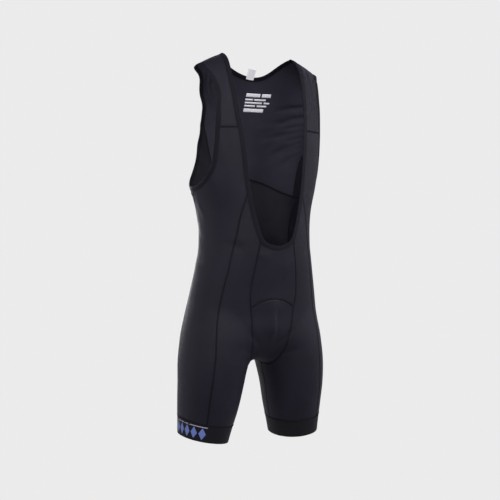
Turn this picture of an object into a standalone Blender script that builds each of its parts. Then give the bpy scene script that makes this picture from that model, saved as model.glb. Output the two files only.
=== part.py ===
"""Cycling bib shorts, filled out as when worn, with no wearer.

Metres, +Z up. The front faces -Y and the wearer's left is +X. The origin lies between the shoulders,
at the height of the neck ends of the straps. Every piece is a wall of cloth over one smooth figure.
"""
import math

import bpy
import numpy as np

OBJECT_NAME = "cycling_bib_shorts"

# Cloth and sewing
CLOTH_THICKNESS = 0.0012
BINDING_THICKNESS = 0.0020
BINDING_WIDTH = 0.009
BINDING_SUNK = 0.0004
SEAM_GAP = 0.0003
SHARPEST_CORNER = 0.25
SAME_PLACE = 1e-6

# Share of the pull down the rows, against across them, when a panel's inner points are evened
EVEN_ACROSS = 0.1
EVEN_BOTH_WAYS = 0.5
RELAX_ROUNDS = 90
MESH_ROUNDS = 40

# Figure
CHEST_Z = -0.296
SHOULDER_Y = -0.020
RIDGE_TOP = 0.012
RIDGE_FALL = 1.95
TORSO_POWER = 2.3
LEG_POWER = 2.1
HIP_BLEND = 0.008
CROTCH_BLEND = 0.024
SEAT_Z = -0.600
BOTTOM_Z = -0.694
HIP_JOIN = 0.060
LEG_TURN_Z = -0.420
LEG_TURN_LENGTH = 0.180
SHOULDER_TURN_LENGTH = 0.240
END_STEEPNESS = 60.0
TORSO_SCALE = 0.10
LEG_SCALE = 0.08
FAR = 0.30

TORSO = np.array([
    # z, half_width, front, back
    (0.020, 0.180, 0.104, 0.100),
    (-0.060, 0.178, 0.106, 0.104),
    (-0.174, 0.167, 0.109, 0.110),
    (-0.296, 0.149, 0.110, 0.104),
    (-0.360, 0.133, 0.112, 0.088),
    (-0.430, 0.131, 0.112, 0.072),
    (-0.480, 0.139, 0.107, 0.076),
    (-0.540, 0.150, 0.097, 0.094),
    (-0.600, 0.158, 0.089, 0.108),
    (-0.640, 0.158, 0.089, 0.108),
])

LEG = np.array([
    # z, centre_x, centre_y, half_width, half_depth
    (-0.540, 0.080, 0.008, 0.060, 0.070),
    (-0.620, 0.089, 0.008, 0.074, 0.088),
    (-0.683, 0.098, 0.006, 0.076, 0.088),
    (-0.750, 0.107, 0.006, 0.069, 0.080),
    (-0.800, 0.112, 0.012, 0.063, 0.073),
    (-0.835, 0.116, 0.016, 0.058, 0.067),
    (-0.875, 0.120, 0.020, 0.053, 0.061),
    (-0.900, 0.122, 0.022, 0.051, 0.059),
])

# Heights of the seams
YOKE_Z = -0.174
SIDE_TOP_Z = -0.311
WAIST_END_Z = -0.322
SCOOP_CORNER_Z = -0.424
ARCH_END_Z = -0.572
CROTCH_LEVEL_Z = -0.716
INSEAM_TOP_LEVEL_Z = -0.744
PANEL_TIP_Z = -0.3290
PANEL_TOP_Z = -0.340
BAND_TOP_Z = -0.826
HEM_Z = -0.866

# The leg ends square to the splayed thigh
TILT_START_Z = -0.700
TILT_FULL_Z = -0.800
TILT_OUT = 0.13
TILT_BACK = 0.12

NECK_FRONT = [
    # x, z of the seam between cloth and binding
    (0.0970, -0.0064),
    (0.0975, -0.050),
    (0.0950, -0.100),
    (0.0910, -0.150),
    (0.0850, -0.200),
    (0.0790, -0.260),
    (0.0745, -0.300),
    (0.0665, -0.345),
    (0.0550, -0.393),
    (0.0430, -0.424),
    (0.0240, -0.439),
    (0.0000, -0.444),
]

NECK_BACK = [
    # x, z from the wearer's right to the left
    (-0.0970, -0.0064),
    (-0.0560, -0.024),
    (-0.0120, -0.040),
    (0.0300, -0.047),
    (0.0640, -0.038),
    (0.0970, -0.0064),
]

SEAM_FRONT_SIDE = [
    # x, z of the long seam from the neck edge down the outer front of the thigh
    (0.0711, -0.322),
    (0.0765, -0.340),
    (0.0840, -0.370),
    (0.0900, -0.407),
    (0.0980, -0.446),
    (0.1050, -0.486),
    (0.1130, -0.523),
    (0.1220, -0.574),
    (0.1300, -0.624),
    (0.1350, -0.684),
    (0.1390, -0.726),
    (0.1420, -0.766),
    (0.1430, -0.826),
]

SEAM_CENTRE_SIDE = [
    # x, z of the seam beside the centre front
    (0.0430, -0.424),
    (0.0460, -0.446),
    (0.0520, -0.480),
    (0.0575, -0.520),
    (0.0585, -0.548),
    (0.0550, -0.572),
]

GUSSET_EDGE = [
    # x, part of the quarter turn from the front to the underside
    (0.0550, 0.00),
    (0.0520, 0.20),
    (0.0480, 0.40),
    (0.0400, 0.65),
    (0.0290, 0.88),
    (0.0220, 1.00),
]
ARCH_TOP_Z = -0.552

SIDE_SEAM_TOP_Y = {"R": 0.014, "L": 0.008}
SIDE_SEAM = [
    # y, z below its top
    (0.021, -0.322),
    (0.034, -0.360),
    (0.036, -0.430),
    (0.043, -0.540),
    (0.046, -0.600),
    (0.046, -0.700),
    (0.046, -0.826),
]

ARMHOLE_FRONT = {
    # y, z from the shoulder seam down to the side seam, the seam between cloth and binding
    "R": [(-0.022, -0.029), (-0.045, -0.050), (-0.064, -0.092), (-0.071, -0.137), (-0.073, -0.179),
          (-0.072, -0.216), (-0.064, -0.264), (-0.040, -0.295), (-0.012, -0.3075), (0.014, -0.311)],
    "L": [(-0.022, -0.033), (-0.041, -0.050), (-0.056, -0.092), (-0.061, -0.137), (-0.062, -0.179),
          (-0.061, -0.216), (-0.054, -0.264), (-0.034, -0.295), (-0.010, -0.3080), (0.008, -0.311)],
}

ARMHOLE_BACK = {
    # y, z from the shoulder seam down to the side seam; the back sits turned to the wearer's left
    "R": [(-0.022, -0.029), (0.027, -0.045), (0.064, -0.095), (0.083, -0.145), (0.091, -0.190),
          (0.092, -0.240), (0.080, -0.276), (0.058, -0.298), (0.036, -0.308), (0.014, -0.311)],
    "L": [(-0.022, -0.033), (0.012, -0.050), (0.024, -0.100), (0.025, -0.150), (0.025, -0.200),
          (0.025, -0.250), (0.023, -0.280), (0.018, -0.302), (0.008, -0.311)],
}

WAIST_SEAM = [
    # x, z on the back, mirrored
    (0.000, -0.268),
    (0.065, -0.279),
    (0.098, -0.293),
    (0.122, -0.309),
]

INSERT_SEAM = {
    # height on the armhole, then the corner on the waist seam in columns of the seat from the centre back
    "R": (-0.150, 2),
    "L": (-0.215, 8),
}

FOLDS = [
    # face, start_x, start_z, end_x, end_z, half_width, height
    ("front", 0.104, -0.030, 0.108, -0.185, 0.0065, 0.0030),
    ("front", 0.121, -0.040, 0.120, -0.180, 0.0065, 0.0032),
    ("front", 0.137, -0.055, 0.131, -0.175, 0.0060, 0.0026),
    ("back", 0.160, -0.105, 0.092, -0.112, 0.0065, 0.0030),
    ("back", 0.164, -0.130, 0.080, -0.146, 0.0065, 0.0034),
    ("back", 0.164, -0.156, 0.075, -0.182, 0.0065, 0.0034),
    ("back", 0.162, -0.182, 0.088, -0.224, 0.0065, 0.0034),
    ("back", 0.158, -0.207, 0.112, -0.252, 0.0065, 0.0028),
    ("back", -0.128, -0.062, -0.078, -0.140, 0.0070, 0.0030),
    ("back", -0.112, -0.062, -0.056, -0.130, 0.0070, 0.0026),
    ("back", -0.106, -0.110, -0.062, -0.185, 0.0070, 0.0028),
    ("back", -0.096, -0.170, -0.070, -0.240, 0.0080, 0.0026),
    ("front", 0.000, -0.572, 0.000, -0.652, 0.0210, 0.0050),
]

# Rows and columns of the grids
STRAP_ROWS = 8
STRAP_COLUMNS = 12
SHOULDER_STEPS = 3
CHEST_ROWS = 9
WAIST_ROWS = 4
BELLY_ROWS = 8
CROTCH_ROWS = 8
CROTCH_SEAM_STEPS = 3
THIGH_ROWS = 6
SIDE_COLUMNS = 6
FRONT_COLUMNS = 6
CENTRE_COLUMNS = 6
SEAT_COLUMNS = 9
BACK_ARM_ROWS = 14
NECK_HOLD = 2.0
MESH_COLUMNS = 20
INSERT_ROWS = 6
INSERT_COLUMNS = 7
BAND_ROWS = 2

# Neck tag
TAG_X = 0.020
TAG_WIDTH = 0.020
TAG_BELOW = 0.009
TAG_ABOVE = 0.030
TAG_THICKNESS = 0.0010
TAG_DEPTH = 0.0013
TAG_ROWS = 5

BLACK_CLOTH = (0.0185, 0.0165, 0.0260)
BLACK_MESH = (0.0165, 0.0155, 0.0185)
BLACK_INSERT = (0.0100, 0.0095, 0.0130)
BLACK_BAND = (0.0100, 0.0095, 0.0125)
BLACK_BINDING = (0.0080, 0.0075, 0.0110)
WHITE_TAG = (0.80, 0.80, 0.80)


def ease(value):
    """0 to 1 with level ends."""
    value = np.clip(value, 0.0, 1.0)
    return value * value * (3.0 - 2.0 * value)


def column(table, index, z):
    """A table's column at height z, smooth from row to row."""
    heights = table[::-1, 0]
    values = table[::-1, index]
    slopes = np.gradient(values, heights)
    low = np.clip(np.searchsorted(heights, z) - 1, 0, len(heights) - 2)
    step = heights[low + 1] - heights[low]
    part = np.clip((z - heights[low]) / step, 0.0, 1.0)
    rise = part * part * (3.0 - 2.0 * part)
    return (values[low] + (values[low + 1] - values[low]) * rise
            + step * slopes[low] * part * (1.0 - part) ** 2
            - step * slopes[low + 1] * part * part * (1.0 - part))


def ridge(x):
    """Height of the shoulder line."""
    return RIDGE_TOP - RIDGE_FALL * x * x


def torso_measure(x, y, z):
    """Below zero inside the torso. Above the chest its sections close towards the shoulder line."""
    width, power = column(TORSO, 1, z), TORSO_POWER
    rise = np.clip((z - CHEST_Z) / (ridge(x) - CHEST_Z), 0.0, 1.0)
    closing = np.sqrt(1.0 - rise * rise)
    depth = y - SHOULDER_Y * (1.0 - closing)
    reach_y = np.where(depth < 0.0, column(TORSO, 2, z), column(TORSO, 3, z))
    part = np.abs(depth) / reach_y
    drop = np.maximum(SEAT_Z - z, 0.0) / (SEAT_Z - BOTTOM_Z)
    below = ((x / width) ** power + part ** power + drop ** power) ** (1.0 / power) - 1.0
    inside_width = np.maximum(1.0 - (x / width) ** power, 0.0) ** (1.0 / power)
    above = part - closing * (inside_width - np.maximum(x / width - 1.0, 0.0))
    above = above + END_STEEPNESS * np.maximum(z - ridge(x), 0.0)
    return np.where(z > CHEST_Z, above, below) * TORSO_SCALE


def leg_measure(x, y, z):
    """Below zero inside the leg."""
    across = np.abs(x - column(LEG, 1, z)) / column(LEG, 3, z)
    along = np.abs(y - column(LEG, 2, z)) / column(LEG, 4, z)
    measure = (across ** LEG_POWER + along ** LEG_POWER) ** (1.0 / LEG_POWER) - 1.0
    return (measure + END_STEEPNESS * np.maximum(z - LEG[0, 0], 0.0)) * LEG_SCALE


def outside(points):
    """Below zero inside the figure: a torso joined to two legs."""
    x, y, z = np.abs(points[..., 0]), points[..., 1], points[..., 2]
    torso, leg = torso_measure(x, y, z), leg_measure(x, y, z)
    blend = HIP_BLEND + (CROTCH_BLEND - HIP_BLEND) * ease((SEAT_Z - z) / HIP_JOIN)
    share = np.clip(0.5 + 0.5 * (torso - leg) / blend, 0.0, 1.0)
    return torso * (1.0 - share) + leg * share - blend * share * (1.0 - share)


def reach(origins, directions, far=FAR):
    """Where each ray leaves the figure."""
    near = np.zeros(np.broadcast(origins[..., 0], directions[..., 0]).shape)
    away = near + far
    for _ in range(34):
        middle = (near + away) / 2.0
        inside = outside(origins + directions * middle[..., None]) < 0.0
        near = np.where(inside, middle, near)
        away = np.where(inside, away, middle)
    return origins + directions * near[..., None]


def slope_at(points):
    step = 0.0005
    slope = [outside(points + step * axis) - outside(points - step * axis) for axis in np.eye(3)]
    return np.stack(slope, -1) / (2.0 * step)


def normals(points):
    """Outward directions of the figure at its surface."""
    slope = slope_at(points)
    return slope / np.linalg.norm(slope, axis=-1, keepdims=True)


def relaxed(grid, down_share, rounds=RELAX_ROUNDS):
    """Evens out a patch's inner points and sets them back on the figure."""
    grid = grid.copy()
    for _ in range(rounds):
        down = (grid[:-2, 1:-1] + grid[2:, 1:-1]) / 2.0
        across = (grid[1:-1, :-2] + grid[1:-1, 2:]) / 2.0
        inner = across + down_share * (down - across)
        for _ in range(2):
            slope = slope_at(inner)
            inner = inner - slope * (outside(inner) / np.sum(slope * slope, -1))[..., None]
        grid[1:-1, 1:-1] = inner
    return grid


def stack(*values):
    return np.stack(np.broadcast_arrays(*[np.asarray(v, float) for v in values]), -1)


def core_x(z):
    """The line inside the figure that the level rows are swept round."""
    return column(LEG, 1, z) * ease((LEG_TURN_Z - z) / LEG_TURN_LENGTH)


def core_y(z):
    leg_part = column(LEG, 2, z) * ease((LEG_TURN_Z - z) / LEG_TURN_LENGTH)
    return leg_part + SHOULDER_Y * ease((z - CHEST_Z) / SHOULDER_TURN_LENGTH)


def on_front(x, z):
    return reach(stack(x, core_y(z), z), stack(0.0, -1.0, 0.0))


def on_back(x, z):
    return reach(stack(x, core_y(z), z), stack(0.0, 1.0, 0.0))


def on_side(y, z):
    return reach(stack(core_x(z), y, z), stack(1.0, 0.0, 0.0))


def on_turn(turn, z):
    """Level rays from the core line, which stop at the middle of the body."""
    inward = np.cos(turn)
    to_middle = core_x(z) / np.maximum(inward, 0.05)
    far = np.where((inward > 0.05) & (core_x(z) > 0.02), to_middle, FAR)
    return reach(stack(core_x(z), core_y(z), z), stack(-inward, -np.sin(turn), 0.0), far)


class Round:
    """Level rays from the core line: turn 0 points inward, a quarter turn to the front."""

    def __init__(self, back=False):
        self.back = back

    def coordinates(self, points):
        x, y, z = points[..., 0], points[..., 1], points[..., 2]
        turn = np.arctan2(core_y(z) - y, core_x(z) - x) % (2.0 * math.pi)
        if self.back:
            turn = np.where(turn < math.pi / 2.0, turn + 2.0 * math.pi, turn)
        elif np.any(turn > 1.9 * math.pi):
            turn = np.where(turn > 1.5 * math.pi, 0.0, turn)
        return turn, z

    def surface(self, turn, z):
        return on_turn(turn, z)


class Across:
    """Rays square to the X axis from a level line: turn 0 points to the front, a quarter turn goes up."""

    def __init__(self, y, z, upward):
        self.y, self.z, self.upward = y, z, upward

    def coordinates(self, points):
        turn = np.arctan2(self.upward * (points[..., 2] - self.z), self.y - points[..., 1])
        return (turn + math.pi / 2.0) % (2.0 * math.pi) - math.pi / 2.0, points[..., 0]

    def surface(self, turn, x):
        return reach(stack(x, self.y, self.z), stack(0.0, -np.cos(turn), self.upward * np.sin(turn)))


class Facing:
    """Rays straight to the front."""

    def coordinates(self, points):
        return points[..., 0], points[..., 2]

    def surface(self, x, z):
        return on_front(x, z)


OVER_SHOULDER = Across(SHOULDER_Y, CHEST_Z, 1.0)
UNDER_CROTCH = Across(0.0, ARCH_END_Z, -1.0)


def through(rows, count=240):
    """Points of a smooth curve through the rows."""
    rows = np.asarray(rows, float)
    ends = np.vstack([2.0 * rows[0] - rows[1], rows, 2.0 * rows[-1] - rows[-2]])
    place = np.linspace(0.0, len(rows) - 1.0, count)
    first = np.minimum(place.astype(int), len(rows) - 2)
    part = (place - first)[:, None]
    a, b, c, d = (ends[first + k] for k in range(4))
    return 0.5 * (2.0 * b + (c - a) * part + (2.0 * a - 5.0 * b + 4.0 * c - d) * part ** 2
                  + (3.0 * b - a - 3.0 * c + d) * part ** 3)


def spaced(points, count):
    """The same line as count equal steps."""
    length = np.concatenate([[0.0], np.cumsum(np.linalg.norm(np.diff(points, axis=0), axis=1))])
    places = np.linspace(0.0, length[-1], count + 1)
    return np.stack([np.interp(places, length, points[:, k]) for k in range(3)], -1)


def divided(line, parts):
    """The same line with each of its steps cut into equal parts."""
    share = np.linspace(0.0, 1.0, parts, endpoint=False)[None, :, None]
    points = line[:-1, None] * (1.0 - share) + line[1:, None] * share
    return np.vstack([points.reshape(-1, 3), line[-1:]])


def part_of(points, z_from, z_to, count):
    """Equal steps along a falling line between two heights."""
    z = points[:, 2]
    ends = [np.array([np.interp(-level, -z, points[:, k]) for k in range(3)]) for level in (z_from, z_to)]
    between = points[(z < z_from - SAME_PLACE) & (z > z_to + SAME_PLACE)]
    return spaced(np.vstack([ends[0], between, ends[1]]), count)


def heights(*spans):
    """Heights from (start, end, steps) spans that follow one another."""
    levels = [np.array([spans[0][0]])]
    for start, end, steps in spans:
        levels.append(np.linspace(start, end, steps + 1)[1:])
    return np.concatenate(levels)


LOWER_SPANS = (
    (SCOOP_CORNER_Z, ARCH_END_Z, BELLY_ROWS),
    (ARCH_END_Z, CROTCH_LEVEL_Z, CROTCH_ROWS),
    (CROTCH_LEVEL_Z, INSEAM_TOP_LEVEL_Z, CROTCH_SEAM_STEPS),
    (INSEAM_TOP_LEVEL_Z, BAND_TOP_Z, THIGH_ROWS),
)
FRONT_SIDE_LEVELS = heights(
    (WAIST_END_Z, PANEL_TOP_Z, 1), (PANEL_TOP_Z, SCOOP_CORNER_Z, WAIST_ROWS), *LOWER_SPANS)
SIDE_LEVELS = heights((SIDE_TOP_Z, WAIST_END_Z, 1), (WAIST_END_Z, SCOOP_CORNER_Z, WAIST_ROWS), *LOWER_SPANS)


def at_heights(rows, levels, place):
    """Points of a seam, whose rows are (across, z), at the given heights."""
    line = through(rows)
    return place(np.interp(-levels, -line[:, 1], line[:, 0]), levels)


def side_seam(side, levels):
    """The side seam from the armhole down, at the given heights."""
    return at_heights([(SIDE_SEAM_TOP_Y[side], SIDE_TOP_Z)] + SIDE_SEAM, levels, on_side)


def neck_front_line():
    line = through(NECK_FRONT)
    return on_front(line[:, 0], np.minimum(line[:, 1], ridge(line[:, 0]) - 1e-5))


def armhole_line(side, table):
    line = through(table[side])
    return on_side(line[:, 0], line[:, 1])


def waist_line():
    """The back waist seam from the centre back to the left side seam, a point for each seat column."""
    corner = at_heights(SIDE_SEAM, np.array([WAIST_END_Z]), on_side)[0]
    line = through(WAIST_SEAM)
    line = on_back(line[:, 0], line[:, 1])
    turn, z = Round(back=True).coordinates(np.vstack([line[-1], corner]))
    share = np.linspace(0.0, 1.0, 30)[1:]
    rest = on_turn(turn[0] + (turn[1] - turn[0]) * share, z[0] + (z[1] - z[0]) * share)
    return spaced(np.vstack([line, rest]), SEAT_COLUMNS)


def shoulder_line(side):
    """The shoulder seam from the neck to the armhole, along the top of the figure."""
    armhole_x = armhole_line(side, ARMHOLE_FRONT)[0, 0]
    across = np.linspace(NECK_FRONT[0][0], armhole_x, SHOULDER_STEPS + 1)
    return OVER_SHOULDER.surface(math.pi / 2.0, across)


def strap_seam(side):
    """The level seam across a strap under the yoke."""
    neck = part_of(neck_front_line(), YOKE_Z, WAIST_END_Z, 1)[0]
    arm = part_of(armhole_line(side, ARMHOLE_FRONT), YOKE_Z, SIDE_TOP_Z, 1)[0]
    return on_front(np.linspace(neck[0], arm[0], SIDE_COLUMNS + 1), YOKE_Z)


def gusset_edge():
    """The gusset's edge on the wearer's left, from the arch down and under to the crotch."""
    line = through(GUSSET_EDGE)
    turn = line[:, 1] * math.pi / 2.0
    return spaced(UNDER_CROTCH.surface(turn, line[:, 0]), CROTCH_ROWS + CROTCH_SEAM_STEPS)


def crotch_seam():
    """Across the underside from the middle to the gusset's corner on the wearer's left."""
    return UNDER_CROTCH.surface(math.pi / 2.0, np.linspace(0.0, GUSSET_EDGE[-1][0], CROTCH_SEAM_STEPS + 1))


def inseam():
    """From the gusset's corner down the inner leg to the band."""
    corner = gusset_edge()[-1]
    z = np.linspace(corner[2], BAND_TOP_Z, 60)[1:]
    return spaced(np.vstack([corner, on_turn(0.0, z)]), THIGH_ROWS)


def centre_back():
    """From the waist seam down the centre back and under to the crotch."""
    z = np.linspace(WAIST_SEAM[0][1], ARCH_END_Z, WAIST_ROWS + BELLY_ROWS + 1)
    down = on_back(0.0, z)
    turn = np.linspace(math.pi, math.pi / 2.0, 80)
    under = spaced(UNDER_CROTCH.surface(turn, 0.0), CROTCH_ROWS)
    return np.vstack([down, under[1:]])


def loft(sweep, left, right, top=None, bottom=None, columns=6, hold=1.0):
    """A patch of the figure between four seams. Rows run down, columns run from left to right.
    A higher hold keeps the bends of the side seams nearer to the sides."""
    across = np.linspace(0.0, 1.0, columns + 1)[None, :]
    down = np.linspace(0.0, 1.0, len(left))[:, None]
    result = []
    sides = zip(sweep.coordinates(left), sweep.coordinates(right))
    ends = [None if line is None else sweep.coordinates(line) for line in (top, bottom)]
    for index, (first, last) in enumerate(sides):
        upper, lower = (
            first[row] * (1.0 - across) + last[row] * across if line is None else line[index][None, :]
            for line, row in zip(ends, (0, -1))
        )
        value = upper * (1.0 - down) + lower * down
        to_left = first[:, None] - value[:, :1]
        to_right = last[:, None] - value[:, -1:]
        result.append(value + (1.0 - across) ** hold * to_left + across ** hold * to_right)
    grid = sweep.surface(*result)
    grid[:, 0], grid[:, -1] = left, right
    for row, line in ((0, top), (-1, bottom)):
        if line is not None:
            grid[row] = line
    return grid


def fold_height(points):
    """How far the folds lift the cloth at each point."""
    lift = np.zeros(points.shape[:-1])
    for face, start_x, start_z, end_x, end_z, half_width, height in FOLDS:
        run = np.array([end_x - start_x, end_z - start_z])
        length = np.linalg.norm(run)
        offset = np.stack([points[..., 0] - start_x, points[..., 2] - start_z], -1)
        along = np.clip(offset @ run / length ** 2, 0.0, 1.0)
        away = np.linalg.norm(offset - along[..., None] * run, axis=-1)
        taper = 1.0 - ease((along - 0.55) / 0.45)
        facing = points[..., 1] < SHOULDER_Y if face == "front" else points[..., 1] >= SHOULDER_Y
        lift += np.where(facing, height * taper * np.exp(-(away / half_width) ** 2), 0.0)
    return lift


def settle(points):
    """Adds the folds and sets the leg ends square to the thigh."""
    points = points + normals(points) * fold_height(points)[..., None]
    x, y, z = points[..., 0], points[..., 1], points[..., 2]
    share = ease((TILT_START_Z - z) / (TILT_START_Z - TILT_FULL_Z))
    lean = TILT_OUT * (np.abs(x) - column(LEG, 1, z)) + TILT_BACK * (y - column(LEG, 2, z))
    return stack(x, y, z + share * lean)


def inward(edge, inner):
    """Directions square to an edge line, towards the next line of the piece."""
    run = np.gradient(edge, axis=0)
    run /= np.linalg.norm(run, axis=1, keepdims=True)
    into = inner - edge
    into = into - np.sum(into * run, axis=1, keepdims=True) * run
    return into / np.linalg.norm(into, axis=1, keepdims=True)


def drawn_in(grid, closed=False):
    """The grid with its edges pulled back by half the seam gap."""
    shift = np.zeros_like(grid)
    ends = {row: inward(grid[row], grid[beyond]) for row, beyond in ((0, 1), (-1, -2))}
    for row, into in ends.items():
        shift[row] = into
    for line, beyond in () if closed else ((0, 1), (-1, -2)):
        into = inward(grid[:, line], grid[:, beyond])
        shift[:, line] = into
        for row in ends:
            both = ends[row][line] + into[row]
            shift[row, line] = both / max(1.0 + ends[row][line] @ into[row], SHARPEST_CORNER)
    return grid + SEAM_GAP / 2.0 * shift


def cloth(name, inner, outer, material, closed=False):
    """One piece of cloth: a wall between an inner and an outer grid, which a closed piece wraps round."""
    rows, columns = inner.shape[:2]
    count = rows * columns
    steps = columns if closed else columns - 1
    faces = []
    for i in range(rows - 1):
        for j in range(steps):
            k = (j + 1) % columns
            face = (i * columns + j, (i + 1) * columns + j, (i + 1) * columns + k, i * columns + k)
            faces.append(face)
            faces.append(tuple(count + corner for corner in face[::-1]))
    rims = [[j for j in range(steps)] + [steps % columns], [count - columns + steps % columns]]
    rims[1] += [count - columns + j for j in range(steps)][::-1]
    if not closed:
        rims.append([i * columns for i in range(rows)][::-1])
        rims.append([i * columns + columns - 1 for i in range(rows)])
    for rim in rims:
        for start, end in zip(rim, rim[1:]):
            faces.append((start, end, count + end, count + start))
    points = np.concatenate([inner.reshape(-1, 3), outer.reshape(-1, 3)])
    middle = (slice(0, 2), slice(0, 2))
    across = np.cross(inner[0, 1] - inner[0, 0], inner[1, 0] - inner[0, 0])
    if across @ (outer[middle] - inner[middle]).mean(axis=(0, 1)) < 0.0:
        faces = [face[::-1] for face in faces]
    mesh = bpy.data.meshes.new(name)
    mesh.from_pydata(points.tolist(), [], faces)
    mesh.shade_smooth()
    mesh.materials.append(material)
    piece = bpy.data.objects.new(name, mesh)
    bpy.data.collections[OBJECT_NAME].objects.link(piece)
    return piece


def finish(name, colour, roughness):
    """A plain cloth material."""
    material = bpy.data.materials.new(name)
    material.use_nodes = True
    shader = material.node_tree.nodes["Principled BSDF"]
    shader.inputs["Base Color"].default_value = (*colour, 1.0)
    shader.inputs["Roughness"].default_value = roughness
    shader.inputs["Metallic"].default_value = 0.0
    return material


def mirrored(points, side):
    return points if side == "L" else points * (-1.0, 1.0, 1.0)


def yoke_grid(side):
    """The top of the strap, from the level seam up over to the shoulder seam."""
    top = divided(shoulder_line(side), STRAP_COLUMNS // SHOULDER_STEPS)
    neck = part_of(neck_front_line(), NECK_FRONT[0][1], YOKE_Z, STRAP_ROWS)
    neck[0] = top[0]
    arm = part_of(armhole_line(side, ARMHOLE_FRONT), ARMHOLE_FRONT[side][0][1], YOKE_Z, STRAP_ROWS)
    arm[0] = top[-1]
    seam = divided(strap_seam(side), STRAP_COLUMNS // SIDE_COLUMNS)
    return loft(OVER_SHOULDER, neck, arm, top, seam, STRAP_COLUMNS)


def side_panel_grid(side):
    """From the yoke seam past the armhole and down the outer thigh."""
    neck = part_of(neck_front_line(), YOKE_Z, WAIST_END_Z, CHEST_ROWS)
    arm = part_of(armhole_line(side, ARMHOLE_FRONT), YOKE_Z, SIDE_TOP_Z, CHEST_ROWS)
    front = at_heights(SEAM_FRONT_SIDE, FRONT_SIDE_LEVELS, on_front)
    outer = side_seam(side, SIDE_LEVELS)
    left = np.vstack([neck, front[1:]])
    right = np.vstack([arm, outer[1:]])
    return loft(Round(), left, right, strap_seam(side), columns=SIDE_COLUMNS)


def front_panel_grid():
    """Between the two front seams, down the inner thigh."""
    neck = part_of(neck_front_line(), PANEL_TOP_Z, SCOOP_CORNER_Z, WAIST_ROWS)
    right = at_heights(SEAM_FRONT_SIDE, FRONT_SIDE_LEVELS, on_front)
    start = part_of(neck_front_line(), YOKE_Z, WAIST_END_Z, 1)[-1]
    share = (PANEL_TIP_Z - WAIST_END_Z) / (PANEL_TOP_Z - WAIST_END_Z)
    tip = start + (neck[0] - start) * share
    right[0] = right[0] + (right[1] - right[0]) * share
    belly = heights((SCOOP_CORNER_Z, ARCH_END_Z, BELLY_ROWS))
    centre = at_heights(SEAM_CENTRE_SIDE, belly, on_front)
    left = np.vstack([tip, neck, centre[1:], gusset_edge()[1:], inseam()[1:]])
    return relaxed(loft(Round(), left, right, columns=FRONT_COLUMNS), EVEN_ACROSS)


def arch_line(count):
    half_width = SEAM_CENTRE_SIDE[-1][0]
    x = np.linspace(-half_width, half_width, count + 1)
    return on_front(x, ARCH_TOP_Z + (ARCH_END_Z - ARCH_TOP_Z) * (x / half_width) ** 2)


def centre_front_grid():
    """The panel under the scoop, above the arch."""
    belly = heights((SCOOP_CORNER_Z, ARCH_END_Z, BELLY_ROWS))
    edge = at_heights(SEAM_CENTRE_SIDE, belly, on_front)
    half = part_of(neck_front_line(), SCOOP_CORNER_Z, NECK_FRONT[-1][1], CENTRE_COLUMNS // 2)
    scoop = np.vstack([mirrored(half, "R"), half[-2::-1]])
    return loft(Facing(), mirrored(edge, "R"), edge, scoop, arch_line(CENTRE_COLUMNS), CENTRE_COLUMNS)


def gusset_grid():
    """From the arch down and under to the crotch seam."""
    edge = gusset_edge()
    half = crotch_seam()
    crotch = np.vstack([mirrored(half, "R")[:0:-1], half])
    patch = loft(UNDER_CROTCH, mirrored(edge, "R"), edge, arch_line(CENTRE_COLUMNS), crotch, CENTRE_COLUMNS)
    return relaxed(patch, EVEN_ACROSS)


def seat_grid(side):
    """Lower back, seat and back of the thigh."""
    left = side_seam(side, SIDE_LEVELS)[1:]
    right = np.vstack([centre_back(), crotch_seam()[1:], inseam()[1:]])
    patch = loft(Round(back=True), left, right, waist_line()[::-1], columns=SEAT_COLUMNS)
    return relaxed(patch, EVEN_ACROSS)


def insert_seam(side):
    """The seam from the armhole down to the waist seam."""
    level, corner = INSERT_SEAM[side]
    start = part_of(armhole_line(side, ARMHOLE_BACK), level, SIDE_TOP_Z, 1)[0]
    share = np.linspace(0.0, 1.0, INSERT_ROWS + 1)[:, None]
    end = waist_line()[corner]
    return OVER_SHOULDER.surface(*OVER_SHOULDER.coordinates(start * (1.0 - share) + end * share))


def underarm_grid(side):
    """The darker triangle between the insert seam, the armhole, the side seam and the waist seam."""
    level, corner = INSERT_SEAM[side]
    top = part_of(armhole_line(side, ARMHOLE_BACK), level, SIDE_TOP_Z, INSERT_COLUMNS)
    outer = divided(side_seam(side, SIDE_LEVELS[:2]), INSERT_ROWS)
    bottom = divided(waist_line()[corner:], INSERT_COLUMNS // (SEAT_COLUMNS - corner))
    return loft(Round(back=True), insert_seam(side), outer, top, bottom, INSERT_COLUMNS)


def back_mesh_grid():
    """The upper back, hung from the neck edge and closed at the waist seam."""
    edges = {}
    for side in ("R", "L"):
        edge = armhole_line(side, ARMHOLE_BACK)
        arm = part_of(edge, ARMHOLE_BACK[side][0][1], INSERT_SEAM[side][0], BACK_ARM_ROWS)
        edges[side] = mirrored(np.vstack([shoulder_line(side), arm[1:], insert_seam(side)[1:]]), side)
    line = through(NECK_BACK)
    neck = on_back(line[1:-1, 0], line[1:-1, 1])
    neck = spaced(np.vstack([edges["R"][0], neck, edges["L"][0]]), MESH_COLUMNS)
    waist = waist_line()
    right = mirrored(waist[1:INSERT_SEAM["R"][1] + 1], "R")[::-1]
    bottom = np.vstack([right, waist[:INSERT_SEAM["L"][1] + 1]])
    bottom = divided(bottom, MESH_COLUMNS // (len(bottom) - 1))
    patch = loft(OVER_SHOULDER, edges["R"], edges["L"], neck, bottom, MESH_COLUMNS, NECK_HOLD)
    return relaxed(patch, EVEN_BOTH_WAYS, MESH_ROUNDS)


def band_grid(front, side, seat):
    """The wide band round the leg end, under the last rows of the panels."""
    line = joined(front[-1], side[-1], seat[-1])
    turn = Round(back=True).coordinates(line)[0][None, :]
    z = np.linspace(BAND_TOP_Z, HEM_Z, BAND_ROWS + 1)[:, None]
    return Round().surface(turn + 0.0 * z, z + 0.0 * turn)


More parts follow.
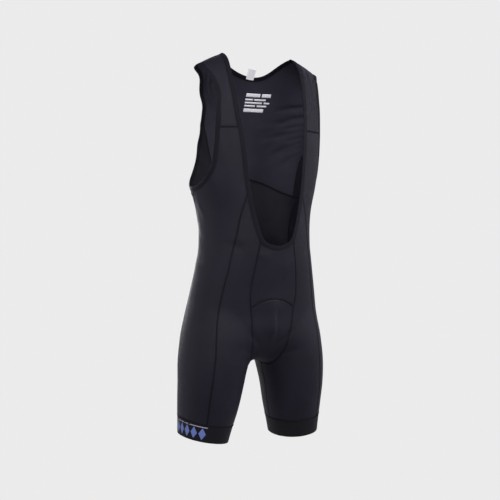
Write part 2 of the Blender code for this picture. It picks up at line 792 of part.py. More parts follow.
def binding_wall(line):
    """A strip outside a closed edge. The line runs with the cloth on its right, seen from outside."""
    run = np.roll(line, -1, axis=0) - np.roll(line, 1, axis=0)
    run /= np.linalg.norm(run, axis=1, keepdims=True)
    up = normals(line)
    out = np.cross(up, run)
    out /= np.linalg.norm(out, axis=1, keepdims=True)
    base = settle(line) - BINDING_SUNK * up
    inner = np.stack([base + step * out for step in (SEAM_GAP / 2.0, BINDING_WIDTH / 2.0, BINDING_WIDTH)])
    return inner, inner + BINDING_THICKNESS * up


def joined(*lines):
    """One closed line from lines that follow one another, each shared end point once."""
    points = np.vstack(lines)
    step = np.linalg.norm(points - np.roll(points, 1, axis=0), axis=1)
    return points[step > SAME_PLACE]


def neck_edge(grids):
    """The edge round the front scoop and the back neck, from the wearer's right shoulder."""
    half = np.vstack([
        grids["yoke_L"][:, 0],
        grids["side_panel_L"][1:CHEST_ROWS + 1, 0],
        grids["front_panel_L"][1:WAIST_ROWS + 2, 0],
    ])
    return joined(mirrored(half, "R"), grids["centre_front"][0], half[::-1], grids["back_mesh"][0][::-1])


def armhole_edge(grids, side):
    """The edge round an armhole, from the shoulder seam down the front and up the back."""
    back = grids["back_mesh"][SHOULDER_STEPS:SHOULDER_STEPS + BACK_ARM_ROWS + 1, -1 if side == "L" else 0]
    return joined(
        grids["yoke_" + side][:, -1],
        grids["side_panel_" + side][:CHEST_ROWS + 1, -1],
        grids["underarm_" + side][0][::-1],
        back[::-1],
    )


def tag_wall():
    """The small folded tag, standing up inside the back neck."""
    x = np.linspace(TAG_X - TAG_WIDTH / 2.0, TAG_X + TAG_WIDTH / 2.0, 5)
    line = through(NECK_BACK)
    edge = on_back(x, np.interp(x, line[:, 0], line[:, 1]))
    up = normals(edge)
    rise = np.cross(up, stack(-1.0, 0.0, 0.0))
    steps = np.linspace(TAG_ABOVE, -TAG_BELOW, TAG_ROWS)
    outer = np.stack([edge - TAG_DEPTH * up + step * rise for step in steps])
    return outer - TAG_THICKNESS * up, outer


def all_grids():
    """Every panel's inner face before the seams are opened."""
    grids = {
        "centre_front": centre_front_grid(),
        "gusset": gusset_grid(),
        "back_mesh": back_mesh_grid(),
    }
    front = front_panel_grid()
    for side in ("R", "L"):
        outer, seat = side_panel_grid(side), seat_grid(side)
        grids["yoke_" + side] = mirrored(yoke_grid(side), side)
        grids["side_panel_" + side] = mirrored(outer, side)
        grids["front_panel_" + side] = mirrored(front, side)
        grids["seat_" + side] = mirrored(seat, side)
        grids["underarm_" + side] = mirrored(underarm_grid(side), side)
        grids["band_" + side] = mirrored(band_grid(front, outer, seat), side)
    return grids


def panel_wall(grid, closed):
    """Inner and outer faces of a panel, a little inside its seams."""
    inner = settle(grid)
    outer = inner + CLOTH_THICKNESS * normals(grid)
    return drawn_in(inner, closed), drawn_in(outer, closed)


def build():
    for old in list(bpy.data.objects):
        bpy.data.objects.remove(old)
    collection = bpy.data.collections.new(OBJECT_NAME)
    bpy.context.scene.collection.children.link(collection)
    panel = finish("panel_cloth", BLACK_CLOTH, 0.55)
    materials = {
        "back_mesh": finish("back_cloth", BLACK_MESH, 0.70),
        "underarm_R": finish("insert_cloth", BLACK_INSERT, 0.65),
        "band_R": finish("band_cloth", BLACK_BAND, 0.60),
    }
    materials["underarm_L"] = materials["underarm_R"]
    materials["band_L"] = materials["band_R"]
    grids = all_grids()
    for name, grid in grids.items():
        closed = name.startswith("band")
        cloth(name, *panel_wall(grid, closed), materials.get(name, panel), closed)
    binding = finish("binding_cloth", BLACK_BINDING, 0.70)
    cloth("neck_binding", *binding_wall(neck_edge(grids)), binding, closed=True)
    cloth("arm_binding_R", *binding_wall(armhole_edge(grids, "R")[::-1]), binding, closed=True)
    cloth("arm_binding_L", *binding_wall(armhole_edge(grids, "L")), binding, closed=True)
    cloth("neck_tag", *tag_wall(), finish("tag_cloth", WHITE_TAG, 0.60))


build()
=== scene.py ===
"""Cycling bib shorts, filled out as when worn, with no wearer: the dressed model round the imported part.

Metres, +Z up. The front faces -Y and the wearer's left is +X. The cloth is laid again over the figure
that the part is made on, in fine thin shells, and gets its creases, flatlock seams, bindings and prints.
"""
import math

import bpy
import numpy as np
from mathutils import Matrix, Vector


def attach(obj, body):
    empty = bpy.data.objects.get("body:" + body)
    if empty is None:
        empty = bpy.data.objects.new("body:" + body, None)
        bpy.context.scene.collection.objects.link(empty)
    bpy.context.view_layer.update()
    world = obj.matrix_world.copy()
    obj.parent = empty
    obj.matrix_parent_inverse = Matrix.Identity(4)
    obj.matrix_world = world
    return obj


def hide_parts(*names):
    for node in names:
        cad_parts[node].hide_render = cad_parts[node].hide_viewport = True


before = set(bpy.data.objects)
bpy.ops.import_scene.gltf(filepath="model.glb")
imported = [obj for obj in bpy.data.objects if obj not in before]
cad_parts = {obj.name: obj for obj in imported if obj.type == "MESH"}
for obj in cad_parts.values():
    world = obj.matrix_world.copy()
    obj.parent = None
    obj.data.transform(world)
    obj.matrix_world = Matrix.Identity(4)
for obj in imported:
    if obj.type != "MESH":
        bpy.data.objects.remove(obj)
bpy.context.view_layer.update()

# Cloth
CELL = 0.0032
CLOTH_THICKNESS = 0.0009
CLOTH_OFF_FIGURE = 0.00015
SEAM_GAP = 0.0003
SHARPEST_CORNER = 0.25
SAME_PLACE = 1e-6
STRETCH_ROUND = 1.12
STRETCH_DOWN = 1.03
THREE_SIDED = 0.45
LEAST_OF_OBLONG = 0.305
MOST_OF_OBLONG = 0.99

# Share of the pull down the rows, against across them, when a panel's inner points are evened
EVEN_ACROSS = 0.1
EVEN_BOTH_WAYS = 0.5
RELAX_ROUNDS = 90
MESH_ROUNDS = 40

# Flatlock seams
SEAM_STEP = 0.0022
SEAM_SECTION = [
    # across, above the cloth
    (-0.00205, -0.00030),
    (-0.00195, 0.00018),
    (-0.00100, 0.00034),
    (0.00000, 0.00030),
    (0.00100, 0.00034),
    (0.00195, 0.00018),
    (0.00205, -0.00030),
]
COVER_THREAD = 0.00022
COVER_WIDTH = 0.0016
COVER_PITCH = 0.0024
COVER_LIFT = 0.00036
THREAD_SIDES = 4
STEEP_THREAD = 0.8

# Folded elastic binding: across from the cloth's edge, above the middle of the cloth
BINDING_LEAF = 0.0005
BINDING_STEP = 0.0030
BINDING_OUTER_LEAF = [
    (-0.0012, 0.00080),
    (0.0005, 0.00088),
    (0.0030, 0.00098),
    (0.0060, 0.00094),
    (0.0078, 0.00080),
    (0.0086, 0.00048),
    (0.00885, 0.00000),
]
NEEDLE_ROWS = (0.0010, 0.0065)
NEEDLE_STITCH = 0.0026
NEEDLE_GAP = 0.0009
NEEDLE_THREAD = 0.00022
NEEDLE_BENDS = [
    # part of the stitch, above the tape
    (0.0, -0.00022),
    (0.2, 0.00007),
    (0.8, 0.00007),
    (1.0, -0.00022),
]

CREASES = [
    # face, start_across, start_z, end_across, end_z, half_width, height, bow
    ("front", 0.108, -0.050, 0.112, -0.168, 0.0036, 0.0023, 0.002),
    ("front", 0.119, -0.070, 0.120, -0.172, 0.0030, 0.0018, 0.001),
    ("front", 0.130, -0.084, 0.127, -0.176, 0.0032, 0.0016, 0.001),
    ("front", -0.110, -0.052, -0.118, -0.150, 0.0080, 0.0010, 0.003),
    ("front", -0.128, -0.070, -0.122, -0.168, 0.0060, 0.0009, -0.002),
    ("front", -0.076, -0.336, -0.086, -0.392, 0.0045, 0.0009, 0.002),
    ("front", 0.078, -0.340, 0.090, -0.388, 0.0040, 0.0007, -0.002),
    ("front", -0.020, -0.660, -0.060, -0.618, 0.0060, -0.0016, 0.003),
    ("front", -0.028, -0.676, -0.078, -0.655, 0.0060, -0.0014, 0.004),
    ("front", -0.036, -0.702, -0.084, -0.700, 0.0110, 0.0007, 0.004),
    ("front", 0.020, -0.655, 0.064, -0.612, 0.0055, -0.0017, -0.003),
    ("front", 0.028, -0.680, 0.080, -0.662, 0.0060, -0.0013, -0.003),
    ("front", 0.040, -0.690, 0.070, -0.760, 0.0140, -0.0009, -0.003),
    ("front", 0.001, -0.580, 0.000, -0.672, 0.0068, 0.0032, 0.000),
    ("front", -0.050, -0.452, -0.014, -0.476, 0.0110, 0.0010, 0.004),
    ("front", 0.052, -0.470, 0.010, -0.498, 0.0120, 0.0009, -0.004),
    ("front", -0.106, -0.430, -0.072, -0.452, 0.0100, -0.0010, 0.003),
    ("front", 0.110, -0.440, 0.076, -0.458, 0.0100, -0.0009, -0.003),
    ("front", -0.104, -0.762, -0.134, -0.800, 0.0090, 0.0010, 0.003),
    ("front", 0.092, -0.770, 0.132, -0.796, 0.0090, 0.0011, -0.003),
    ("back", 0.170, -0.103, 0.118, -0.104, 0.0042, 0.0030, 0.001),
    ("back", 0.168, -0.124, 0.124, -0.130, 0.0040, 0.0028, 0.001),
    ("back", 0.168, -0.145, 0.112, -0.158, 0.0042, 0.0032, -0.001),
    ("back", 0.166, -0.169, 0.122, -0.186, 0.0040, 0.0028, 0.001),
    ("back", 0.165, -0.193, 0.112, -0.221, 0.0044, 0.0031, -0.001),
    ("back", 0.160, -0.219, 0.126, -0.246, 0.0042, 0.0025, 0.001),
    ("back", 0.120, -0.135, 0.050, -0.160, 0.0075, -0.0011, 0.003),
    ("back", 0.112, -0.168, 0.046, -0.206, 0.0080, -0.0010, 0.004),
    ("back", 0.060, -0.120, -0.010, -0.136, 0.0090, 0.0009, 0.003),
    ("back", -0.083, -0.022, -0.069, -0.084, 0.0044, 0.0024, 0.001),
    ("back", -0.096, -0.020, -0.076, -0.108, 0.0044, 0.0030, 0.002),
    ("back", -0.108, -0.040, -0.086, -0.142, 0.0046, 0.0032, 0.003),
    ("back", -0.112, -0.082, -0.088, -0.180, 0.0046, 0.0029, 0.002),
    ("back", -0.128, -0.128, -0.098, -0.214, 0.0052, 0.0024, 0.002),
    ("back", -0.140, -0.176, -0.112, -0.252, 0.0052, 0.0020, -0.002),
    ("back", -0.096, -0.352, -0.020, -0.346, 0.0100, -0.0014, 0.004),
    ("back", -0.088, -0.384, 0.030, -0.390, 0.0110, -0.0016, 0.005),
    ("back", 0.094, -0.366, 0.022, -0.372, 0.0100, -0.0013, -0.004),
    ("back", 0.084, -0.412, -0.014, -0.424, 0.0120, -0.0012, 0.004),
    ("back", -0.014, -0.640, -0.066, -0.668, 0.0080, -0.0016, 0.006),
    ("back", -0.020, -0.668, -0.090, -0.704, 0.0080, -0.0014, 0.006),
    ("back", 0.014, -0.646, 0.070, -0.672, 0.0080, -0.0016, -0.006),
    ("back", 0.020, -0.676, 0.088, -0.712, 0.0080, -0.0013, -0.006),
    ("back", -0.086, -0.772, -0.144, -0.786, 0.0090, -0.0012, 0.003),
    ("back", 0.088, -0.780, 0.142, -0.790, 0.0090, -0.0012, 0.003),
    ("right", 0.010, -0.336, -0.030, -0.378, 0.0080, 0.0010, 0.003),
    ("right", 0.040, -0.386, -0.020, -0.420, 0.0100, -0.0011, 0.004),
    ("right", 0.030, -0.452, -0.034, -0.470, 0.0110, -0.0009, 0.003),
    ("left", 0.012, -0.344, -0.028, -0.380, 0.0080, 0.0010, 0.003),
    ("left", 0.036, -0.396, -0.024, -0.426, 0.0100, -0.0010, 0.004),
    ("left", 0.030, -0.458, -0.030, -0.482, 0.0110, -0.0009, 0.003),
]
FACES = {
    # the axis across, and the way the face looks
    "front": (0, (0.0, -1.0, 0.0)),
    "back": (0, (0.0, 1.0, 0.0)),
    "right": (1, (-1.0, 0.0, 0.0)),
    "left": (1, (1.0, 0.0, 0.0)),
}
CREASE_FADES_FROM = 0.10
CREASE_FADE = 0.35
WAVE_BESIDE = 1.9
WAVE_SHARE = 0.35
CREASE_NARROW = 0.75
CREASE_WIDENS = 0.5
CREASE_START = 0.4
CREASE_RISE = 0.25
CREASE_FALLS_FROM = 0.5
PUCKER_WAVE = 0.0085
PUCKER_DEPTH = 0.00022
PUCKER_REACH = 0.0070
PUCKER_SWAY = 3.0
PUCKER_SWAY_X = 41.0
PUCKER_SWAY_Z = 67.0
PUCKER_LEVEL_SHARE = 0.7
PUCKER_LEVEL_TURN = 0.83

# Tag and prints
TAG_LEAF = 0.0003
TAG_LEAF_GAP = 0.0006
TAG_CURL = 0.0012
TAG_SEWN_AT = 0.003
TAG_FOLD = 0.0006
TAG_FOLD_ROUND = 0.0001
TAG_FOLD_SHARE = 0.6
TAG_COLUMNS = 16
TAG_STEPS = 14
TAG_EDGE_DEGREES = 50.0
PRINT_LIFT = 0.00004
PRINT_THICKNESS = 0.00006
PRINT_CELL = 0.002
PRINT_X = 0.054
PRINT_Z = -0.095
PRINT_BARS = [
    # left, right, top, bottom from the middle of the block
    (-0.032, 0.004, 0.021, 0.013),
    (0.008, 0.030, 0.021, 0.013),
    (-0.032, -0.012, 0.009, 0.005),
    (-0.009, 0.020, 0.009, 0.005),
    (-0.032, 0.012, 0.002, -0.002),
    (0.016, 0.030, 0.002, -0.002),
    (-0.032, -0.004, -0.005, -0.009),
    (0.000, 0.024, -0.005, -0.009),
    (-0.032, 0.018, -0.013, -0.021),
]
LOZENGE_TURNS = (121.0, 139.0, 157.0, 175.0, 193.0)
LOZENGE_HALF_TURN = 7.5
LOZENGE_Z = -0.8480
LOZENGE_HALF_HEIGHT = 0.0135
LOZENGE_CELLS = 10
BAND_LINE_CELLS = 49
BAND_LINE_TURN = (112.0, 198.0)
BAND_LINE_Z = -0.8325
BAND_LINE_WIDTH = 0.0022

# Studio
BODY_MIDDLE = (0.0, 0.0, -0.44)
BACKDROP = (0.831, 0.831, 0.831)
FLOOR_Z = -1.36
FLOOR_RADIUS = 14.0
FLOOR_SIDES = 64
ROOM_COLOUR = (1.0, 1.0, 1.03)
ROOM_STRENGTH = 0.38
SOFT_BOXES = [
    # name, place, size, power, colour
    ("key", (-2.4, -2.6, 1.5), (1.8, 2.6), 84.0, (0.94, 0.94, 1.0)),
    ("front_fill", (0.3, -3.5, 1.0), (2.6, 2.6), 56.0, (0.93, 0.94, 1.0)),
    ("right_side", (2.9, -1.5, 0.9), (1.4, 2.6), 46.0, (0.93, 0.94, 1.0)),
    ("left_edge", (-2.8, 1.6, 0.2), (1.0, 2.4), 16.0, (0.98, 0.98, 1.0)),
    ("back_fill", (0.6, 3.2, 0.6), (2.2, 2.2), 80.0, (1.0, 1.0, 1.0)),
]

CAMERA_PLACE = (-1.3000, -2.2517, -0.4440)
CAMERA_TURN = -30.0
CAMERA_SENSOR = 36.0
CAMERA_LENS = 81.39
CAMERA_SHIFT = -0.0052

# Dyed finishes
FINISHES = {
    # deep dye, worn dye, least and most rough,
    # stitches across and down a metre and fuzz, relief, sheen, specular, whether it follows the cut
    "panel_cloth": ((0.0050, 0.0043, 0.0098), (0.0076, 0.0066, 0.0142), (0.44, 0.58),
        (1500.0, 1200.0, 0.4), 0.00022, 0.055, 0.20, True),
    # back_cloth: partly the mesh's own colour, but mostly painted light: dyes far lighter than the panels'
    # that stand in for the light reaching the inside of the back
    "back_cloth": ((0.0230, 0.0212, 0.0320), (0.0325, 0.0300, 0.0440), (0.58, 0.74),
        (900.0, 760.0, 0.3), 0.00034, 0.045, 0.15, True),
    "insert_cloth": ((0.0056, 0.0051, 0.0085), (0.0080, 0.0073, 0.0120), (0.55, 0.70),
        (1100.0, 900.0, 0.3), 0.00030, 0.045, 0.18, True),
    "band_cloth": ((0.0028, 0.0025, 0.0045), (0.0044, 0.0040, 0.0068), (0.50, 0.66),
        (620.0, 300.0, 0.3), 0.00034, 0.045, 0.20, True),
    "binding_tape": ((0.0036, 0.0032, 0.0064), (0.0056, 0.0050, 0.0096), (0.58, 0.72),
        (1300.0, 1300.0, 0.8), 0.00020, 0.030, 0.14, False),
    "sewing_thread": ((0.0014, 0.0013, 0.0022), (0.0026, 0.0024, 0.0038), (0.45, 0.60),
        (3000.0, 3000.0, 0.8), 0.00010, 0.030, 0.20, False),
    "tag_tape": ((0.88, 0.88, 0.88), (0.94, 0.94, 0.93), (0.60, 0.72),
        (2200.0, 2200.0, 0.4), 0.00012, 0.0, 0.50, False),
    "white_ink": ((0.82, 0.83, 0.86), (0.92, 0.92, 0.94), (0.50, 0.62),
        (1400.0, 1400.0, 0.8), 0.00012, 0.0, 0.50, False),
    "blue_ink": ((0.095, 0.135, 0.380), (0.120, 0.170, 0.440), (0.42, 0.55),
        (1400.0, 1400.0, 0.8), 0.00012, 0.0, 0.50, False),
    "pale_ink": ((0.24, 0.23, 0.31), (0.31, 0.30, 0.39), (0.38, 0.50),
        (1400.0, 1400.0, 0.8), 0.00012, 0.0, 0.50, False),
}
SHEEN_ROUGHNESS = 0.35
SHEEN_TINT = (0.62, 0.58, 0.90, 1.0)
KNIT_STRENGTH = 0.55
KNIT_LOOP = 0.3
FUZZ_SCALE = 2600.0
BROAD_SCALE = 11.0
BROAD_SHARE = 0.7
BROAD_RANGE = (0.35, 0.65)
LINT_SCALE = 420.0
LINT_RANGE = (0.3, 0.7)
# Share of the tone's spread left next to a seam, and how far from the seams the cloth stays darker
SEAM_TONE = 0.35
SEAM_TONE_REACH = 0.010

# Figure
CHEST_Z = -0.296
SHOULDER_Y = -0.020
RIDGE_TOP = 0.012
RIDGE_FALL = 1.95
TORSO_POWER = 2.3
LEG_POWER = 2.1
HIP_BLEND = 0.008
CROTCH_BLEND = 0.024
SEAT_Z = -0.600
BOTTOM_Z = -0.694
HIP_JOIN = 0.060
LEG_TURN_Z = -0.420
LEG_TURN_LENGTH = 0.180
SHOULDER_TURN_LENGTH = 0.240
END_STEEPNESS = 60.0
TORSO_SCALE = 0.10
LEG_SCALE = 0.08
FAR = 0.30
RAY_HALVINGS = 34
SLOPE_STEP = 0.0005
CURVE_POINTS = 240
WAIST_POINTS = 30
INSEAM_POINTS = 60
UNDER_POINTS = 80
LEAST_INWARD = 0.05
LEGS_APART = 0.02
UNDER_RIDGE = 1e-5

TORSO = np.array([
    # z, half_width, front, back
    (0.020, 0.180, 0.104, 0.100),
    (-0.060, 0.178, 0.106, 0.104),
    (-0.174, 0.167, 0.109, 0.110),
    (-0.296, 0.149, 0.110, 0.104),
    (-0.360, 0.133, 0.112, 0.088),
    (-0.430, 0.131, 0.112, 0.072),
    (-0.480, 0.139, 0.107, 0.076),
    (-0.540, 0.150, 0.097, 0.094),
    (-0.600, 0.158, 0.089, 0.108),
    (-0.640, 0.158, 0.089, 0.108),
])

LEG = np.array([
    # z, centre_x, centre_y, half_width, half_depth
    (-0.540, 0.080, 0.008, 0.060, 0.070),
    (-0.620, 0.089, 0.008, 0.074, 0.088),
    (-0.683, 0.098, 0.006, 0.076, 0.088),
    (-0.750, 0.107, 0.006, 0.069, 0.080),
    (-0.800, 0.112, 0.012, 0.063, 0.073),
    (-0.835, 0.116, 0.016, 0.058, 0.067),
    (-0.875, 0.120, 0.020, 0.053, 0.061),
    (-0.900, 0.122, 0.022, 0.051, 0.059),
])

# Heights of the seams
YOKE_Z = -0.174
SIDE_TOP_Z = -0.311
WAIST_END_Z = -0.322
SCOOP_CORNER_Z = -0.424
ARCH_END_Z = -0.572
CROTCH_LEVEL_Z = -0.716
INSEAM_TOP_LEVEL_Z = -0.744
PANEL_TIP_Z = -0.3290
PANEL_TOP_Z = -0.340
BAND_TOP_Z = -0.826
HEM_Z = -0.866

# The leg ends square to the splayed thigh
TILT_START_Z = -0.700
TILT_FULL_Z = -0.800
TILT_OUT = 0.13
TILT_BACK = 0.12

NECK_FRONT = [
    # x, z of the seam between cloth and binding
    (0.0970, -0.0064),
    (0.0975, -0.050),
    (0.0950, -0.100),
    (0.0910, -0.150),
    (0.0850, -0.200),
    (0.0790, -0.260),
    (0.0745, -0.300),
    (0.0665, -0.345),
    (0.0550, -0.393),
    (0.0430, -0.424),
    (0.0240, -0.439),
    (0.0000, -0.444),
]

NECK_BACK = [
    # x, z from the wearer's right to the left
    (-0.0970, -0.0064),
    (-0.0560, -0.024),
    (-0.0120, -0.040),
    (0.0300, -0.047),
    (0.0640, -0.038),
    (0.0970, -0.0064),
]

SEAM_FRONT_SIDE = [
    # x, z of the long seam from the neck edge down the outer front of the thigh
    (0.0711, -0.322),
    (0.0765, -0.340),
    (0.0840, -0.370),
    (0.0900, -0.407),
    (0.0980, -0.446),
    (0.1050, -0.486),
    (0.1130, -0.523),
    (0.1220, -0.574),
    (0.1300, -0.624),
    (0.1350, -0.684),
    (0.1390, -0.726),
    (0.1420, -0.766),
    (0.1430, -0.826),
]

SEAM_CENTRE_SIDE = [
    # x, z of the seam beside the centre front
    (0.0430, -0.424),
    (0.0460, -0.446),
    (0.0520, -0.480),
    (0.0575, -0.520),
    (0.0585, -0.548),
    (0.0550, -0.572),
]

GUSSET_EDGE = [
    # x, part of the quarter turn from the front to the underside
    (0.0550, 0.00),
    (0.0520, 0.20),
    (0.0480, 0.40),
    (0.0400, 0.65),
    (0.0290, 0.88),
    (0.0220, 1.00),
]
ARCH_TOP_Z = -0.552

SIDE_SEAM_TOP_Y = {"R": 0.014, "L": 0.008}
SIDE_SEAM = [
    # y, z below its top
    (0.021, -0.322),
    (0.034, -0.360),
    (0.036, -0.430),
    (0.043, -0.540),
    (0.046, -0.600),
    (0.046, -0.700),
    (0.046, -0.826),
]

ARMHOLE_FRONT = {
    # y, z from the shoulder seam down to the side seam, the seam between cloth and binding
    "R": [(-0.022, -0.029), (-0.045, -0.050), (-0.064, -0.092), (-0.071, -0.137), (-0.073, -0.179),
          (-0.072, -0.216), (-0.064, -0.264), (-0.040, -0.295), (-0.012, -0.3075), (0.014, -0.311)],
    "L": [(-0.022, -0.033), (-0.041, -0.050), (-0.056, -0.092), (-0.061, -0.137), (-0.062, -0.179),
          (-0.061, -0.216), (-0.054, -0.264), (-0.034, -0.295), (-0.010, -0.3080), (0.008, -0.311)],
}

ARMHOLE_BACK = {
    # y, z from the shoulder seam down to the side seam; the back sits turned to the wearer's left
    "R": [(-0.022, -0.029), (0.027, -0.045), (0.064, -0.095), (0.083, -0.145), (0.091, -0.190),
          (0.092, -0.240), (0.080, -0.276), (0.058, -0.298), (0.036, -0.308), (0.014, -0.311)],
    "L": [(-0.022, -0.033), (0.012, -0.050), (0.024, -0.100), (0.025, -0.150), (0.025, -0.200),
          (0.025, -0.250), (0.023, -0.280), (0.018, -0.302), (0.008, -0.311)],
}

WAIST_SEAM = [
    # x, z on the back, mirrored
    (0.000, -0.268),
    (0.065, -0.279),
    (0.098, -0.293),
    (0.122, -0.309),
]

INSERT_SEAM = {
    # height on the armhole, then the corner on the waist seam in columns of the seat from the centre back
    "R": (-0.150, 2),
    "L": (-0.215, 8),
}

FOLDS = [
    # face, start_x, start_z, end_x, end_z, half_width, height
    ("front", 0.104, -0.030, 0.108, -0.185, 0.0065, 0.0030),
    ("front", 0.121, -0.040, 0.120, -0.180, 0.0065, 0.0032),
    ("front", 0.137, -0.055, 0.131, -0.175, 0.0060, 0.0026),
    ("back", 0.160, -0.105, 0.092, -0.112, 0.0065, 0.0030),
    ("back", 0.164, -0.130, 0.080, -0.146, 0.0065, 0.0034),
    ("back", 0.164, -0.156, 0.075, -0.182, 0.0065, 0.0034),
    ("back", 0.162, -0.182, 0.088, -0.224, 0.0065, 0.0034),
    ("back", 0.158, -0.207, 0.112, -0.252, 0.0065, 0.0028),
    ("back", -0.128, -0.062, -0.078, -0.140, 0.0070, 0.0030),
    ("back", -0.112, -0.062, -0.056, -0.130, 0.0070, 0.0026),
    ("back", -0.106, -0.110, -0.062, -0.185, 0.0070, 0.0028),
    ("back", -0.096, -0.170, -0.070, -0.240, 0.0080, 0.0026),
    ("front", 0.000, -0.572, 0.000, -0.652, 0.0210, 0.0050),
]
FOLD_FADES_FROM = 0.55
FOLD_FADE = 0.45

# Rows and columns of the grids
STRAP_ROWS = 8
STRAP_COLUMNS = 12
SHOULDER_STEPS = 3
CHEST_ROWS = 9
WAIST_ROWS = 4
BELLY_ROWS = 8
CROTCH_ROWS = 8
CROTCH_SEAM_STEPS = 3
THIGH_ROWS = 6
SIDE_COLUMNS = 6
FRONT_COLUMNS = 6
CENTRE_COLUMNS = 6
SEAT_COLUMNS = 9
BACK_ARM_ROWS = 14
NECK_HOLD = 2.0
MESH_COLUMNS = 20
INSERT_ROWS = 6
INSERT_COLUMNS = 7
BAND_ROWS = 2

# Neck tag
TAG_X = 0.020
TAG_WIDTH = 0.020
TAG_ABOVE = 0.030
TAG_THICKNESS = 0.0010
TAG_DEPTH = 0.0013


def ease(value):
    """0 to 1 with level ends."""
    value = np.clip(value, 0.0, 1.0)
    return value * value * (3.0 - 2.0 * value)


def column(table, index, z):
    """A table's column at height z, smooth from row to row."""
    heights = table[::-1, 0]
    values = table[::-1, index]
    slopes = np.gradient(values, heights)
    low = np.clip(np.searchsorted(heights, z) - 1, 0, len(heights) - 2)
    step = heights[low + 1] - heights[low]
    part = np.clip((z - heights[low]) / step, 0.0, 1.0)
    rise = part * part * (3.0 - 2.0 * part)
    return (values[low] + (values[low + 1] - values[low]) * rise
            + step * slopes[low] * part * (1.0 - part) ** 2
            - step * slopes[low + 1] * part * part * (1.0 - part))


def ridge(x):
    """Height of the shoulder line."""
    return RIDGE_TOP - RIDGE_FALL * x * x


def torso_measure(x, y, z):
    """Below zero inside the torso. Above the chest its sections close towards the shoulder line."""
    width, power = column(TORSO, 1, z), TORSO_POWER
    rise = np.clip((z - CHEST_Z) / (ridge(x) - CHEST_Z), 0.0, 1.0)
    closing = np.sqrt(1.0 - rise * rise)
    depth = y - SHOULDER_Y * (1.0 - closing)
    reach_y = np.where(depth < 0.0, column(TORSO, 2, z), column(TORSO, 3, z))
    part = np.abs(depth) / reach_y
    drop = np.maximum(SEAT_Z - z, 0.0) / (SEAT_Z - BOTTOM_Z)
    below = ((x / width) ** power + part ** power + drop ** power) ** (1.0 / power) - 1.0
    inside_width = np.maximum(1.0 - (x / width) ** power, 0.0) ** (1.0 / power)
    above = part - closing * (inside_width - np.maximum(x / width - 1.0, 0.0))
    above = above + END_STEEPNESS * np.maximum(z - ridge(x), 0.0)
    return np.where(z > CHEST_Z, above, below) * TORSO_SCALE


def leg_measure(x, y, z):
    """Below zero inside the leg."""
    across = np.abs(x - column(LEG, 1, z)) / column(LEG, 3, z)
    along = np.abs(y - column(LEG, 2, z)) / column(LEG, 4, z)
    measure = (across ** LEG_POWER + along ** LEG_POWER) ** (1.0 / LEG_POWER) - 1.0
    return (measure + END_STEEPNESS * np.maximum(z - LEG[0, 0], 0.0)) * LEG_SCALE


def outside(points):
    """Below zero inside the figure: a torso joined to two legs."""
    x, y, z = np.abs(points[..., 0]), points[..., 1], points[..., 2]
    torso, leg = torso_measure(x, y, z), leg_measure(x, y, z)
    blend = HIP_BLEND + (CROTCH_BLEND - HIP_BLEND) * ease((SEAT_Z - z) / HIP_JOIN)
    share = np.clip(0.5 + 0.5 * (torso - leg) / blend, 0.0, 1.0)
    return torso * (1.0 - share) + leg * share - blend * share * (1.0 - share)


def reach(origins, directions, far=FAR):
    """Where each ray leaves the figure."""
    near = np.zeros(np.broadcast(origins[..., 0], directions[..., 0]).shape)
    away = near + far
    for _ in range(RAY_HALVINGS):
        middle = (near + away) / 2.0
        inside = outside(origins + directions * middle[..., None]) < 0.0
        near = np.where(inside, middle, near)
        away = np.where(inside, away, middle)
    return origins + directions * near[..., None]


def slope_at(points):
    slope = [outside(points + SLOPE_STEP * axis) - outside(points - SLOPE_STEP * axis) for axis in np.eye(3)]
    return np.stack(slope, -1) / (2.0 * SLOPE_STEP)


def normals(points):
    """Outward directions of the figure at its surface."""
    slope = slope_at(points)
    return slope / np.linalg.norm(slope, axis=-1, keepdims=True)


def on_figure(points, rounds=3):
    """Moves points straight onto the figure's surface."""
    for _ in range(rounds):
        slope = slope_at(points)
        points = points - slope * (outside(points) / np.sum(slope * slope, -1))[..., None]
    return points


def relaxed(grid, down_share, rounds=RELAX_ROUNDS):
    """Evens out a patch's inner points and sets them back on the figure."""
    grid = grid.copy()
    for _ in range(rounds):
        down = (grid[:-2, 1:-1] + grid[2:, 1:-1]) / 2.0
        across = (grid[1:-1, :-2] + grid[1:-1, 2:]) / 2.0
        grid[1:-1, 1:-1] = on_figure(across + down_share * (down - across), 2)
    return grid


def stack(*values):
    return np.stack(np.broadcast_arrays(*[np.asarray(v, float) for v in values]), -1)


def core_x(z):
    """The line inside the figure that the level rows are swept round."""
    return column(LEG, 1, z) * ease((LEG_TURN_Z - z) / LEG_TURN_LENGTH)


def core_y(z):
    leg_part = column(LEG, 2, z) * ease((LEG_TURN_Z - z) / LEG_TURN_LENGTH)
    return leg_part + SHOULDER_Y * ease((z - CHEST_Z) / SHOULDER_TURN_LENGTH)


def on_front(x, z):
    return reach(stack(x, core_y(z), z), stack(0.0, -1.0, 0.0))


def on_back(x, z):
    return reach(stack(x, core_y(z), z), stack(0.0, 1.0, 0.0))


def on_side(y, z):
    return reach(stack(core_x(z), y, z), stack(1.0, 0.0, 0.0))


def on_turn(turn, z):
    """Level rays from the core line, which stop at the middle of the body."""
    inward = np.cos(turn)
    to_middle = core_x(z) / np.maximum(inward, LEAST_INWARD)
    far = np.where((inward > LEAST_INWARD) & (core_x(z) > LEGS_APART), to_middle, FAR)
    return reach(stack(core_x(z), core_y(z), z), stack(-inward, -np.sin(turn), 0.0), far)


class Round:
    """Level rays from the core line: turn 0 points inward, a quarter turn to the front."""

    def __init__(self, back=False):
        self.back = back

    def coordinates(self, points):
        x, y, z = points[..., 0], points[..., 1], points[..., 2]
        turn = np.arctan2(core_y(z) - y, core_x(z) - x) % (2.0 * math.pi)
        if self.back:
            turn = np.where(turn < math.pi / 2.0, turn + 2.0 * math.pi, turn)
        elif np.any(turn > 1.9 * math.pi):
            turn = np.where(turn > 1.5 * math.pi, 0.0, turn)
        return turn, z

    def surface(self, turn, z):
        return on_turn(turn, z)


